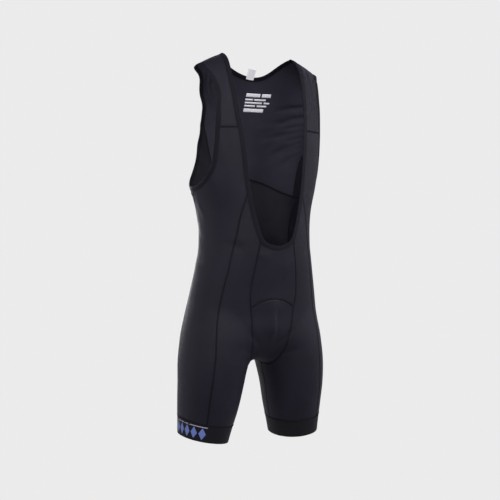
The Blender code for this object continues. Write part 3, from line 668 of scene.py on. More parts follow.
class Across:
    """Rays square to the X axis from a level line: turn 0 points to the front, a quarter turn goes up."""

    def __init__(self, y, z, upward):
        self.y, self.z, self.upward = y, z, upward

    def coordinates(self, points):
        turn = np.arctan2(self.upward * (points[..., 2] - self.z), self.y - points[..., 1])
        return (turn + math.pi / 2.0) % (2.0 * math.pi) - math.pi / 2.0, points[..., 0]

    def surface(self, turn, x):
        return reach(stack(x, self.y, self.z), stack(0.0, -np.cos(turn), self.upward * np.sin(turn)))


class Facing:
    """Rays straight to the front."""

    def coordinates(self, points):
        return points[..., 0], points[..., 2]

    def surface(self, x, z):
        return on_front(x, z)


OVER_SHOULDER = Across(SHOULDER_Y, CHEST_Z, 1.0)
UNDER_CROTCH = Across(0.0, ARCH_END_Z, -1.0)


def through(rows, count=CURVE_POINTS):
    """Points of a smooth curve through the rows."""
    rows = np.asarray(rows, float)
    ends = np.vstack([2.0 * rows[0] - rows[1], rows, 2.0 * rows[-1] - rows[-2]])
    place = np.linspace(0.0, len(rows) - 1.0, count)
    first = np.minimum(place.astype(int), len(rows) - 2)
    part = (place - first)[:, None]
    a, b, c, d = (ends[first + k] for k in range(4))
    return 0.5 * (2.0 * b + (c - a) * part + (2.0 * a - 5.0 * b + 4.0 * c - d) * part ** 2
                  + (3.0 * b - a - 3.0 * c + d) * part ** 3)


def spaced(points, count):
    """The same line as count equal steps."""
    length = np.concatenate([[0.0], np.cumsum(np.linalg.norm(np.diff(points, axis=0), axis=1))])
    places = np.linspace(0.0, length[-1], count + 1)
    return np.stack([np.interp(places, length, points[:, k]) for k in range(3)], -1)


def divided(line, parts):
    """The same line with each of its steps cut into equal parts."""
    share = np.linspace(0.0, 1.0, parts, endpoint=False)[None, :, None]
    points = line[:-1, None] * (1.0 - share) + line[1:, None] * share
    return np.vstack([points.reshape(-1, 3), line[-1:]])


def part_of(points, z_from, z_to, count):
    """Equal steps along a falling line between two heights."""
    z = points[:, 2]
    ends = [np.array([np.interp(-level, -z, points[:, k]) for k in range(3)]) for level in (z_from, z_to)]
    between = points[(z < z_from - SAME_PLACE) & (z > z_to + SAME_PLACE)]
    return spaced(np.vstack([ends[0], between, ends[1]]), count)


def heights(*spans):
    """Heights from (start, end, steps) spans that follow one another."""
    levels = [np.array([spans[0][0]])]
    for start, end, steps in spans:
        levels.append(np.linspace(start, end, steps + 1)[1:])
    return np.concatenate(levels)


LOWER_SPANS = (
    (SCOOP_CORNER_Z, ARCH_END_Z, BELLY_ROWS),
    (ARCH_END_Z, CROTCH_LEVEL_Z, CROTCH_ROWS),
    (CROTCH_LEVEL_Z, INSEAM_TOP_LEVEL_Z, CROTCH_SEAM_STEPS),
    (INSEAM_TOP_LEVEL_Z, BAND_TOP_Z, THIGH_ROWS),
)
FRONT_SIDE_LEVELS = heights(
    (WAIST_END_Z, PANEL_TOP_Z, 1), (PANEL_TOP_Z, SCOOP_CORNER_Z, WAIST_ROWS), *LOWER_SPANS)
SIDE_LEVELS = heights((SIDE_TOP_Z, WAIST_END_Z, 1), (WAIST_END_Z, SCOOP_CORNER_Z, WAIST_ROWS), *LOWER_SPANS)


def at_heights(rows, levels, place):
    """Points of a seam, whose rows are (across, z), at the given heights."""
    line = through(rows)
    return place(np.interp(-levels, -line[:, 1], line[:, 0]), levels)


def side_seam(side, levels):
    """The side seam from the armhole down, at the given heights."""
    return at_heights([(SIDE_SEAM_TOP_Y[side], SIDE_TOP_Z)] + SIDE_SEAM, levels, on_side)


def neck_front_line():
    line = through(NECK_FRONT)
    return on_front(line[:, 0], np.minimum(line[:, 1], ridge(line[:, 0]) - UNDER_RIDGE))


def armhole_line(side, table):
    line = through(table[side])
    return on_side(line[:, 0], line[:, 1])


def waist_line():
    """The back waist seam from the centre back to the left side seam, a point for each seat column."""
    corner = at_heights(SIDE_SEAM, np.array([WAIST_END_Z]), on_side)[0]
    line = through(WAIST_SEAM)
    line = on_back(line[:, 0], line[:, 1])
    turn, z = Round(back=True).coordinates(np.vstack([line[-1], corner]))
    share = np.linspace(0.0, 1.0, WAIST_POINTS)[1:]
    rest = on_turn(turn[0] + (turn[1] - turn[0]) * share, z[0] + (z[1] - z[0]) * share)
    return spaced(np.vstack([line, rest]), SEAT_COLUMNS)


def shoulder_line(side):
    """The shoulder seam from the neck to the armhole, along the top of the figure."""
    armhole_x = armhole_line(side, ARMHOLE_FRONT)[0, 0]
    across = np.linspace(NECK_FRONT[0][0], armhole_x, SHOULDER_STEPS + 1)
    return OVER_SHOULDER.surface(math.pi / 2.0, across)


def strap_seam(side):
    """The level seam across a strap under the yoke."""
    neck = part_of(neck_front_line(), YOKE_Z, WAIST_END_Z, 1)[0]
    arm = part_of(armhole_line(side, ARMHOLE_FRONT), YOKE_Z, SIDE_TOP_Z, 1)[0]
    return on_front(np.linspace(neck[0], arm[0], SIDE_COLUMNS + 1), YOKE_Z)


def gusset_edge():
    """The gusset's edge on the wearer's left, from the arch down and under to the crotch."""
    line = through(GUSSET_EDGE)
    turn = line[:, 1] * math.pi / 2.0
    return spaced(UNDER_CROTCH.surface(turn, line[:, 0]), CROTCH_ROWS + CROTCH_SEAM_STEPS)


def crotch_seam():
    """Across the underside from the middle to the gusset's corner on the wearer's left."""
    return UNDER_CROTCH.surface(math.pi / 2.0, np.linspace(0.0, GUSSET_EDGE[-1][0], CROTCH_SEAM_STEPS + 1))


def inseam():
    """From the gusset's corner down the inner leg to the band."""
    corner = gusset_edge()[-1]
    z = np.linspace(corner[2], BAND_TOP_Z, INSEAM_POINTS)[1:]
    return spaced(np.vstack([corner, on_turn(0.0, z)]), THIGH_ROWS)


def centre_back():
    """From the waist seam down the centre back and under to the crotch."""
    z = np.linspace(WAIST_SEAM[0][1], ARCH_END_Z, WAIST_ROWS + BELLY_ROWS + 1)
    down = on_back(0.0, z)
    turn = np.linspace(math.pi, math.pi / 2.0, UNDER_POINTS)
    under = spaced(UNDER_CROTCH.surface(turn, 0.0), CROTCH_ROWS)
    return np.vstack([down, under[1:]])


def loft(sweep, left, right, top=None, bottom=None, columns=6, hold=1.0):
    """A patch of the figure between four seams. Rows run down, columns run from left to right.
    A higher hold keeps the bends of the side seams nearer to the sides."""
    across = np.linspace(0.0, 1.0, columns + 1)[None, :]
    down = np.linspace(0.0, 1.0, len(left))[:, None]
    result = []
    sides = zip(sweep.coordinates(left), sweep.coordinates(right))
    ends = [None if line is None else sweep.coordinates(line) for line in (top, bottom)]
    for index, (first, last) in enumerate(sides):
        upper, lower = (
            first[row] * (1.0 - across) + last[row] * across if line is None else line[index][None, :]
            for line, row in zip(ends, (0, -1))
        )
        value = upper * (1.0 - down) + lower * down
        to_left = first[:, None] - value[:, :1]
        to_right = last[:, None] - value[:, -1:]
        result.append(value + (1.0 - across) ** hold * to_left + across ** hold * to_right)
    grid = sweep.surface(*result)
    grid[:, 0], grid[:, -1] = left, right
    for row, line in ((0, top), (-1, bottom)):
        if line is not None:
            grid[row] = line
    return grid


def fold_height(points):
    """How far the folds lift the cloth at each point."""
    lift = np.zeros(points.shape[:-1])
    for face, start_x, start_z, end_x, end_z, half_width, height in FOLDS:
        run = np.array([end_x - start_x, end_z - start_z])
        length = np.linalg.norm(run)
        offset = np.stack([points[..., 0] - start_x, points[..., 2] - start_z], -1)
        along = np.clip(offset @ run / length ** 2, 0.0, 1.0)
        away = np.linalg.norm(offset - along[..., None] * run, axis=-1)
        taper = 1.0 - ease((along - FOLD_FADES_FROM) / FOLD_FADE)
        facing = points[..., 1] < SHOULDER_Y if face == "front" else points[..., 1] >= SHOULDER_Y
        lift += np.where(facing, height * taper * np.exp(-(away / half_width) ** 2), 0.0)
    return lift


def settle(points):
    """Adds the folds and sets the leg ends square to the thigh."""
    points = points + normals(points) * fold_height(points)[..., None]
    x, y, z = points[..., 0], points[..., 1], points[..., 2]
    share = ease((TILT_START_Z - z) / (TILT_START_Z - TILT_FULL_Z))
    lean = TILT_OUT * (np.abs(x) - column(LEG, 1, z)) + TILT_BACK * (y - column(LEG, 2, z))
    return stack(x, y, z + share * lean)


def inward(edge, inner):
    """Directions square to an edge line, towards the next line of the piece."""
    run = np.gradient(edge, axis=0)
    run /= np.linalg.norm(run, axis=1, keepdims=True)
    into = inner - edge
    into = into - np.sum(into * run, axis=1, keepdims=True) * run
    return into / np.linalg.norm(into, axis=1, keepdims=True)


def drawn_in(grid, closed=False):
    """The grid with its edges pulled back by half the seam gap."""
    shift = np.zeros_like(grid)
    ends = {row: inward(grid[row], grid[beyond]) for row, beyond in ((0, 1), (-1, -2))}
    for row, into in ends.items():
        shift[row] = into
    for line, beyond in () if closed else ((0, 1), (-1, -2)):
        into = inward(grid[:, line], grid[:, beyond])
        shift[:, line] = into
        for row in ends:
            both = ends[row][line] + into[row]
            shift[row, line] = both / max(1.0 + ends[row][line] @ into[row], SHARPEST_CORNER)
    return grid + SEAM_GAP / 2.0 * shift


def mirrored(points, side):
    return points if side == "L" else points * (-1.0, 1.0, 1.0)


def yoke_grid(side):
    """The top of the strap, from the level seam up over to the shoulder seam."""
    top = divided(shoulder_line(side), STRAP_COLUMNS // SHOULDER_STEPS)
    neck = part_of(neck_front_line(), NECK_FRONT[0][1], YOKE_Z, STRAP_ROWS)
    neck[0] = top[0]
    arm = part_of(armhole_line(side, ARMHOLE_FRONT), ARMHOLE_FRONT[side][0][1], YOKE_Z, STRAP_ROWS)
    arm[0] = top[-1]
    seam = divided(strap_seam(side), STRAP_COLUMNS // SIDE_COLUMNS)
    return loft(OVER_SHOULDER, neck, arm, top, seam, STRAP_COLUMNS)


def side_panel_grid(side):
    """From the yoke seam past the armhole and down the outer thigh."""
    neck = part_of(neck_front_line(), YOKE_Z, WAIST_END_Z, CHEST_ROWS)
    arm = part_of(armhole_line(side, ARMHOLE_FRONT), YOKE_Z, SIDE_TOP_Z, CHEST_ROWS)
    front = at_heights(SEAM_FRONT_SIDE, FRONT_SIDE_LEVELS, on_front)
    outer = side_seam(side, SIDE_LEVELS)
    left = np.vstack([neck, front[1:]])
    right = np.vstack([arm, outer[1:]])
    return loft(Round(), left, right, strap_seam(side), columns=SIDE_COLUMNS)


def front_panel_grid():
    """Between the two front seams, down the inner thigh."""
    neck = part_of(neck_front_line(), PANEL_TOP_Z, SCOOP_CORNER_Z, WAIST_ROWS)
    right = at_heights(SEAM_FRONT_SIDE, FRONT_SIDE_LEVELS, on_front)
    start = part_of(neck_front_line(), YOKE_Z, WAIST_END_Z, 1)[-1]
    share = (PANEL_TIP_Z - WAIST_END_Z) / (PANEL_TOP_Z - WAIST_END_Z)
    tip = start + (neck[0] - start) * share
    right[0] = right[0] + (right[1] - right[0]) * share
    belly = heights((SCOOP_CORNER_Z, ARCH_END_Z, BELLY_ROWS))
    centre = at_heights(SEAM_CENTRE_SIDE, belly, on_front)
    left = np.vstack([tip, neck, centre[1:], gusset_edge()[1:], inseam()[1:]])
    return relaxed(loft(Round(), left, right, columns=FRONT_COLUMNS), EVEN_ACROSS)


def arch_line(count):
    half_width = SEAM_CENTRE_SIDE[-1][0]
    x = np.linspace(-half_width, half_width, count + 1)
    return on_front(x, ARCH_TOP_Z + (ARCH_END_Z - ARCH_TOP_Z) * (x / half_width) ** 2)


def centre_front_grid():
    """The panel under the scoop, above the arch."""
    belly = heights((SCOOP_CORNER_Z, ARCH_END_Z, BELLY_ROWS))
    edge = at_heights(SEAM_CENTRE_SIDE, belly, on_front)
    half = part_of(neck_front_line(), SCOOP_CORNER_Z, NECK_FRONT[-1][1], CENTRE_COLUMNS // 2)
    scoop = np.vstack([mirrored(half, "R"), half[-2::-1]])
    return loft(Facing(), mirrored(edge, "R"), edge, scoop, arch_line(CENTRE_COLUMNS), CENTRE_COLUMNS)


def gusset_grid():
    """From the arch down and under to the crotch seam."""
    edge = gusset_edge()
    half = crotch_seam()
    crotch = np.vstack([mirrored(half, "R")[:0:-1], half])
    patch = loft(UNDER_CROTCH, mirrored(edge, "R"), edge, arch_line(CENTRE_COLUMNS), crotch, CENTRE_COLUMNS)
    return relaxed(patch, EVEN_ACROSS)


def seat_grid(side):
    """Lower back, seat and back of the thigh."""
    left = side_seam(side, SIDE_LEVELS)[1:]
    right = np.vstack([centre_back(), crotch_seam()[1:], inseam()[1:]])
    patch = loft(Round(back=True), left, right, waist_line()[::-1], columns=SEAT_COLUMNS)
    return relaxed(patch, EVEN_ACROSS)


def insert_seam(side):
    """The seam from the armhole down to the waist seam."""
    level, corner = INSERT_SEAM[side]
    start = part_of(armhole_line(side, ARMHOLE_BACK), level, SIDE_TOP_Z, 1)[0]
    share = np.linspace(0.0, 1.0, INSERT_ROWS + 1)[:, None]
    end = waist_line()[corner]
    return OVER_SHOULDER.surface(*OVER_SHOULDER.coordinates(start * (1.0 - share) + end * share))


def underarm_grid(side):
    """The darker triangle between the insert seam, the armhole, the side seam and the waist seam."""
    level, corner = INSERT_SEAM[side]
    top = part_of(armhole_line(side, ARMHOLE_BACK), level, SIDE_TOP_Z, INSERT_COLUMNS)
    outer = divided(side_seam(side, SIDE_LEVELS[:2]), INSERT_ROWS)
    bottom = divided(waist_line()[corner:], INSERT_COLUMNS // (SEAT_COLUMNS - corner))
    return loft(Round(back=True), insert_seam(side), outer, top, bottom, INSERT_COLUMNS)


def back_mesh_grid():
    """The upper back, hung from the neck edge and closed at the waist seam."""
    edges = {}
    for side in ("R", "L"):
        edge = armhole_line(side, ARMHOLE_BACK)
        arm = part_of(edge, ARMHOLE_BACK[side][0][1], INSERT_SEAM[side][0], BACK_ARM_ROWS)
        edges[side] = mirrored(np.vstack([shoulder_line(side), arm[1:], insert_seam(side)[1:]]), side)
    line = through(NECK_BACK)
    neck = on_back(line[1:-1, 0], line[1:-1, 1])
    neck = spaced(np.vstack([edges["R"][0], neck, edges["L"][0]]), MESH_COLUMNS)
    waist = waist_line()
    right = mirrored(waist[1:INSERT_SEAM["R"][1] + 1], "R")[::-1]
    bottom = np.vstack([right, waist[:INSERT_SEAM["L"][1] + 1]])
    bottom = divided(bottom, MESH_COLUMNS // (len(bottom) - 1))
    patch = loft(OVER_SHOULDER, edges["R"], edges["L"], neck, bottom, MESH_COLUMNS, NECK_HOLD)
    return relaxed(patch, EVEN_BOTH_WAYS, MESH_ROUNDS)


def band_grid(front, side, seat):
    """The wide band round the leg end, under the last rows of the panels."""
    line = joined(front[-1], side[-1], seat[-1])
    turn = Round(back=True).coordinates(line)[0][None, :]
    z = np.linspace(BAND_TOP_Z, HEM_Z, BAND_ROWS + 1)[:, None]
    return Round().surface(turn + 0.0 * z, z + 0.0 * turn)


def joined(*lines):
    """One closed line from lines that follow one another, each shared end point once."""
    points = np.vstack(lines)
    step = np.linalg.norm(points - np.roll(points, 1, axis=0), axis=1)
    return points[step > SAME_PLACE]


def neck_edge(grids):
    """The edge round the front scoop and the back neck, from the wearer's right shoulder."""
    half = np.vstack([
        grids["yoke_L"][:, 0],
        grids["side_panel_L"][1:CHEST_ROWS + 1, 0],
        grids["front_panel_L"][1:WAIST_ROWS + 2, 0],
    ])
    return joined(mirrored(half, "R"), grids["centre_front"][0], half[::-1], grids["back_mesh"][0][::-1])


def armhole_edge(grids, side):
    """The edge round an armhole, from the shoulder seam down the front and up the back."""
    back = grids["back_mesh"][SHOULDER_STEPS:SHOULDER_STEPS + BACK_ARM_ROWS + 1, -1 if side == "L" else 0]
    return joined(
        grids["yoke_" + side][:, -1],
        grids["side_panel_" + side][:CHEST_ROWS + 1, -1],
        grids["underarm_" + side][0][::-1],
        back[::-1],
    )


def all_grids():
    """Every panel's inner face before the seams are opened."""
    grids = {
        "centre_front": centre_front_grid(),
        "gusset": gusset_grid(),
        "back_mesh": back_mesh_grid(),
    }
    front = front_panel_grid()
    for side in ("R", "L"):
        outer, seat = side_panel_grid(side), seat_grid(side)
        grids["yoke_" + side] = mirrored(yoke_grid(side), side)
        grids["side_panel_" + side] = mirrored(outer, side)
        grids["front_panel_" + side] = mirrored(front, side)
        grids["seat_" + side] = mirrored(seat, side)
        grids["underarm_" + side] = mirrored(underarm_grid(side), side)
        grids["band_" + side] = mirrored(band_grid(front, outer, seat), side)
    return grids


def finer(points, parts, closed=False):
    """Cuts each step along the first axis into equal parts of a smooth curve."""
    if closed:
        run = np.concatenate([points[-1:], points, points[:2]])
    else:
        run = np.concatenate([2.0 * points[:1] - points[1:2], points, 2.0 * points[-1:] - points[-2:-1]])
    a, b, c, d = run[:-3, None], run[1:-2, None], run[2:-1, None], run[3:, None]
    t = (np.arange(parts) / parts).reshape((1, parts) + (1,) * (points.ndim - 1))
    value = 0.5 * (2.0 * b + (c - a) * t + (2.0 * a - 5.0 * b + 4.0 * c - d) * t ** 2
                   + (3.0 * b - a - 3.0 * c + d) * t ** 3)
    value = value.reshape((-1,) + points.shape[1:])
    return value if closed else np.concatenate([value, points[-1:]])


def steps_for(grid, axis, cell):
    length = np.linalg.norm(np.diff(grid, axis=axis), axis=-1)
    return max(1, math.ceil(float(length.mean()) / cell))


def fine_patch(grid, closed=False, cell=CELL):
    """A panel's coarse grid cut into small cells and set on the figure."""
    grid = finer(grid, steps_for(grid, 0, cell))
    across = np.swapaxes(grid, 0, 1)
    across = finer(across, steps_for(grid, 1, cell), closed)
    return on_figure(np.swapaxes(across, 0, 1))


def crease_height(points, facing):
    """Soft troughs and ridges, each with a shallow wave beside it."""
    lift = np.zeros(points.shape[:-1])
    for face, start_across, start_z, end_across, end_z, half_width, height, bow in CREASES:
        axis, look = FACES[face]
        turned = ease((facing @ np.array(look) - CREASE_FADES_FROM) / CREASE_FADE)
        place = np.stack([points[..., axis], points[..., 2]], -1)
        run = np.array([end_across - start_across, end_z - start_z])
        length = np.linalg.norm(run)
        run = run / length
        square = np.array([-run[1], run[0]])
        offset = place - np.array([start_across, start_z])
        along = offset @ run / length
        part = np.clip(along, 0.0, 1.0)
        past = (along - part) * length
        away = offset @ square - bow * 4.0 * part * (1.0 - part)
        width = half_width * (CREASE_NARROW + CREASE_WIDENS * part)
        start = ease(part / CREASE_RISE) * (1.0 - CREASE_START) + CREASE_START
        fall = 1.0 - ease((part - CREASE_FALLS_FROM) / (1.0 - CREASE_FALLS_FROM))
        taper = start * fall * np.exp(-(past / half_width) ** 2)
        beside_it = np.exp(-((away - WAVE_BESIDE * width) / width) ** 2)
        wave = np.exp(-(away / width) ** 2) - WAVE_SHARE * beside_it
        lift += height * turned * taper * wave
    return lift


def hang(points):
    """Where points of the figure lie once the cloth has its folds and creases."""
    facing = normals(points)
    return settle(points + facing * crease_height(points, facing)[..., None])


def on_cloth(points, height):
    """Points on the hung cloth, raised above its middle."""
    return hang(points) + normals(points) * (CLOTH_OFF_FIGURE + CLOTH_THICKNESS / 2.0 + height)


def edge_reach(grid, closed):
    """How far each point of a patch is from its nearest seam."""
    down = np.linalg.norm(np.diff(grid, axis=0), axis=-1)
    down = np.concatenate([np.zeros((1, grid.shape[1])), np.cumsum(down, axis=0)])
    near = np.minimum(down, down[-1:] - down)
    if not closed:
        across = np.linalg.norm(np.diff(grid, axis=1), axis=-1)
        across = np.concatenate([np.zeros((grid.shape[0], 1)), np.cumsum(across, axis=1)], axis=1)
        near = np.minimum(near, np.minimum(across, across[:, -1:] - across))
    return near


def pucker(grid, closed):
    """Small ripples where the seams draw the cloth up."""
    near = edge_reach(grid, closed)
    turn = 2.0 * math.pi / PUCKER_WAVE
    x, y, z = grid[..., 0], grid[..., 1], grid[..., 2]
    sway = PUCKER_SWAY * np.sin(PUCKER_SWAY_X * x + PUCKER_SWAY_Z * z)
    level = PUCKER_LEVEL_SHARE * np.sin(turn * PUCKER_LEVEL_TURN * (x + y))
    return PUCKER_DEPTH * (np.sin(turn * z + sway) + level) * np.exp(-(near / PUCKER_REACH) ** 2)


def cloth_chart(grid, closed):
    """Distances across and down a patch, for the knit."""
    rows, columns = grid.shape[:2]
    down = np.linalg.norm(np.diff(grid, axis=0), axis=-1).mean(axis=1)
    wide = np.linalg.norm(np.diff(grid, axis=1), axis=-1).mean()
    down = np.concatenate([[0.0], np.cumsum(down)])
    return np.stack(np.broadcast_arrays(wide * np.arange(columns)[None, :], -down[:, None]), -1)


def new_piece(name, points, faces, material, charts=None, near=None):
    mesh = bpy.data.meshes.new(name)
    mesh.from_pydata(points.tolist(), [], faces)
    mesh.shade_smooth()
    if charts is not None:
        layer = mesh.uv_layers.new(name="cloth")
        corners = np.zeros(len(mesh.loops), np.int32)
        mesh.loops.foreach_get("vertex_index", corners)
        layer.data.foreach_set("uv", charts[corners].astype(np.float32).ravel())
    if near is not None:
        attribute = mesh.attributes.new("seam_reach", "FLOAT", "POINT")
        attribute.data.foreach_set("value", near.astype(np.float32))
    mesh.materials.append(material)
    piece = bpy.data.objects.new(name, mesh)
    bpy.context.scene.collection.objects.link(piece)
    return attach(piece, "root")


def shell_faces(rows, columns, closed):
    """Faces of a wall whose points are an inner grid and then an outer grid."""
    count = rows * columns
    steps = columns if closed else columns - 1
    i, j = np.meshgrid(np.arange(rows - 1), np.arange(steps), indexing="ij")
    k = (j + 1) % columns
    inner = np.stack([i * columns + j, (i + 1) * columns + j, (i + 1) * columns + k, i * columns + k], -1)
    inner = inner.reshape(-1, 4)
    faces = [inner, count + inner[:, ::-1]]
    top = np.arange(steps + 1) % columns
    rims = [top, (count - columns + top)[::-1]]
    if not closed:
        side = np.arange(rows) * columns
        rims += [side[::-1], side + columns - 1]
    for rim in rims:
        faces.append(np.stack([rim[:-1], rim[1:], count + rim[1:], count + rim[:-1]], -1))
    return np.concatenate(faces)


def wall(name, inner, outer, material, closed=False, chart=None, near=None):
    """A thin closed shell between an inner and an outer grid."""
    rows, columns = inner.shape[:2]
    faces = shell_faces(rows, columns, closed)
    across = np.cross(inner[0, 1] - inner[0, 0], inner[1, 0] - inner[0, 0])
    if across @ (outer[:2, :2] - inner[:2, :2]).mean(axis=(0, 1)) < 0.0:
        faces = faces[:, ::-1]
    points = np.concatenate([inner.reshape(-1, 3), outer.reshape(-1, 3)])
    charts = None if chart is None else np.concatenate([chart.reshape(-1, 2)] * 2)
    reach_of = None if near is None else np.concatenate([near.ravel()] * 2)
    return new_piece(name, points, faces.tolist(), material, charts, reach_of)


def cut_size(grid, closed=False):
    """Flat width, length and area that a worn patch was cut to. The area is kept between LEAST_OF_OBLONG and
    MOST_OF_OBLONG of its flat oblong. The area keeps to what a sheet may state.
    """
    ring = np.concatenate([grid, grid[:, :1]], axis=1) if closed else grid
    wide = np.linalg.norm(np.diff(ring, axis=1), axis=-1).sum(axis=1).max()
    long = np.linalg.norm(np.diff(ring, axis=0), axis=-1).sum(axis=0).max()
    a, b = ring[1:, 1:] - ring[:-1, :-1], ring[1:, :-1] - ring[:-1, 1:]
    area = float(np.linalg.norm(np.cross(a, b), axis=-1).sum() / 2.0)
    if area < THREE_SIDED * wide * long:
        points = grid.reshape(-1, 3) - grid.reshape(-1, 3).mean(axis=0)
        turned = points @ np.linalg.svd(points, full_matrices=False)[2].T
        long, wide = np.ptp(turned, axis=0)[:2]
    wide, long = float(wide / STRETCH_ROUND), float(long / STRETCH_DOWN)
    area, oblong = area / (STRETCH_ROUND * STRETCH_DOWN), wide * long
    area = min(max(area, LEAST_OF_OBLONG * oblong), MOST_OF_OBLONG * oblong)
    return (round(wide, 4), round(long, 4)), round(area, 5)


def panel(name, node, slot, grid, material, closed=False):
    """One sewn panel as a thin shell, with the flat size of the sheet that it was cut as worked out."""
    fine = fine_patch(grid, closed)
    near = edge_reach(fine, closed)
    up = normals(fine)
    inner = hang(fine) + up * (CLOTH_OFF_FIGURE + pucker(fine, closed))[..., None]
    outer = inner + up * CLOTH_THICKNESS
    piece = wall(name, drawn_in(inner, closed), drawn_in(outer, closed), material, closed,
                 cloth_chart(fine, closed), near)
    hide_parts(node)
    flat, area = cut_size(fine, closed)
    return piece


def along_steps(line, closed=False):
    run = np.roll(line, -1, axis=0) - np.roll(line, 1, axis=0) if closed else np.gradient(line, axis=0)
    return run / np.linalg.norm(run, axis=-1, keepdims=True)


def fine_line(line, closed=False, step=SEAM_STEP):
    ends = line if not closed else np.concatenate([line, line[:1]])
    parts = max(1, math.ceil(float(np.linalg.norm(np.diff(ends, axis=0), axis=1).mean()) / step))
    return on_figure(finer(line, parts, closed))


def beside(line, closed, across):
    """Points on the figure at distances to the right of a line, seen from outside."""
    out = np.cross(normals(line), along_steps(line, closed))
    return on_figure(line[None] + np.asarray(across)[:, None, None] * out[None])


def tube_faces(rings, sides, closed):
    i, j = np.meshgrid(np.arange(rings if closed else rings - 1), np.arange(sides), indexing="ij")
    n, k = (i + 1) % rings, (j + 1) % sides
    faces = np.stack([i * sides + j, i * sides + k, n * sides + k, n * sides + j], -1).reshape(-1, 4).tolist()
    if not closed:
        faces.append(list(range(sides))[::-1])
        faces.append([(rings - 1) * sides + j for j in range(sides)])
    return faces


def strip(line, closed, section, outward=1.0):
    """A closed ribbon that lies along a seam, on the outer or the inner face of the cloth."""
    across, above = np.array(section).T
    base = beside(line, closed, across)
    height = CLOTH_THICKNESS / 2.0 + above
    points = np.stack([on_cloth(row, outward * level) for row, level in zip(base, height)], 1)
    flat = points.reshape(-1, 3)
    return flat, outward_faces(flat, tube_faces(len(line), len(section), closed))


def threads(paths, radius, sides=THREAD_SIDES):
    """Round threads along paths of the same number of points each, as one mesh."""
    count, steps = paths.shape[:2]
    run = np.gradient(paths, axis=1)
    run /= np.linalg.norm(run, axis=-1, keepdims=True)
    steep = np.abs(run[..., 2:3]) >= STEEP_THREAD
    guide = np.where(steep, (1.0, 0.0, 0.0), (0.0, 0.0, 1.0))
    first = np.cross(run, guide)
    first /= np.linalg.norm(first, axis=-1, keepdims=True)
    second = np.cross(run, first)
    turn = 2.0 * math.pi * (np.arange(sides) + 0.5) / sides
    ring = np.cos(turn)[:, None] * first[:, :, None] + np.sin(turn)[:, None] * second[:, :, None]
    points = paths[:, :, None] + radius * ring
    one = tube_faces(steps, sides, False)
    faces = [[k * steps * sides + corner for corner in face] for k in range(count) for face in one]
    return points.reshape(-1, 3), faces


def gathered(parts):
    """Several meshes as one list of points and one list of faces."""
    points, faces, count = [], [], 0
    for part_points, part_faces in parts:
        points.append(part_points)
        faces += [[count + corner for corner in face] for face in part_faces]
        count += len(part_points)
    return np.concatenate(points), faces


def resampled(line, closed, step):
    ends = np.concatenate([line, line[:1]]) if closed else line
    length = float(np.linalg.norm(np.diff(ends, axis=0), axis=1).sum())
    points = spaced(ends, max(2, round(length / step)))
    return on_figure(points[:-1] if closed else points)


def cover_stitch(line, closed, outward):
    """The zigzag cover thread of a flatlock seam."""
    path = resampled(line, closed, COVER_PITCH / 2.0)
    out = np.cross(normals(path), along_steps(path, closed))
    side = np.where(np.arange(len(path)) % 2 == 0, 1.0, -1.0)[:, None]
    path = on_figure(path + COVER_WIDTH * side * out)
    return threads(on_cloth(path, outward * (CLOTH_THICKNESS / 2.0 + COVER_LIFT))[None], COVER_THREAD)


def binding_frame(line):
    """The edge, the way out from the cloth and the way off it, at each point of a bound edge."""
    up = normals(line)
    out = np.cross(up, along_steps(line, True))
    out /= np.linalg.norm(out, axis=1, keepdims=True)
    return hang(line) + up * (CLOTH_OFF_FIGURE + CLOTH_THICKNESS / 2.0), out, up


def binding_section():
    """The folded tape's outline, from the middle line of its two leaves."""
    outer = np.array(BINDING_OUTER_LEAF)
    path = finer(np.concatenate([outer, outer[-2::-1] * (1.0, -1.0)]), 2)
    run = np.gradient(path, axis=0)
    run /= np.linalg.norm(run, axis=1, keepdims=True)
    square = np.stack([-run[:, 1], run[:, 0]], -1) * BINDING_LEAF / 2.0
    return np.concatenate([path + square, (path - square)[::-1]])


def bound_edge(name, node, line, material, stitch_material):
    """The folded tape round an edge, and its two rows of needle stitches on both leaves."""
    line = fine_line(line, True, BINDING_STEP)
    edge, out, up = binding_frame(line)
    across, above = binding_section().T
    points = edge[:, None] + out[:, None] * across[:, None] + up[:, None] * above[:, None]
    faces = tube_faces(len(line), len(across), True)
    flat = points.reshape(-1, 3)
    piece = new_piece(name, flat, outward_faces(flat, faces), material)
    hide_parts(node)
    steps = np.linalg.norm(edge - np.roll(edge, -1, axis=0), axis=1)
    length = np.concatenate([[0.0], np.cumsum(steps)])
    pitch = NEEDLE_STITCH + NEEDLE_GAP
    starts = np.arange(0.0, length[-1] - pitch, pitch)
    part_along, above_tape = np.array(NEEDLE_BENDS).T
    places = starts[:, None] + NEEDLE_STITCH * part_along
    frames = [
        np.stack([np.interp(places, length, np.append(part[:, k], part[0, k])) for k in range(3)], -1)
        for part in (edge, out, up)
    ]
    rows = []
    for row in NEEDLE_ROWS:
        top = np.interp(row, *np.array(BINDING_OUTER_LEAF).T)
        for leaf in (1.0, -1.0):
            height = leaf * (top + BINDING_LEAF / 2.0 + above_tape)
            rows.append(threads(frames[0] + frames[1] * row + frames[2] * height[:, None], NEEDLE_THREAD))
    stitches = new_piece(name + "_stitches", *gathered(rows), stitch_material)
    return piece


def outward_faces(points, faces):
    """Turns a closed mesh's faces outward, by the sign of the volume they hold."""
    middle = points.mean(axis=0)
    a, b, c = (points[[face[k] for face in faces]] - middle for k in range(3))
    d = points[[face[-1] for face in faces]] - middle
    volume = np.sum(a * np.cross(b, c)) + np.sum(a * np.cross(c, d))
    return [face[::-1] for face in faces] if volume < 0.0 else faces


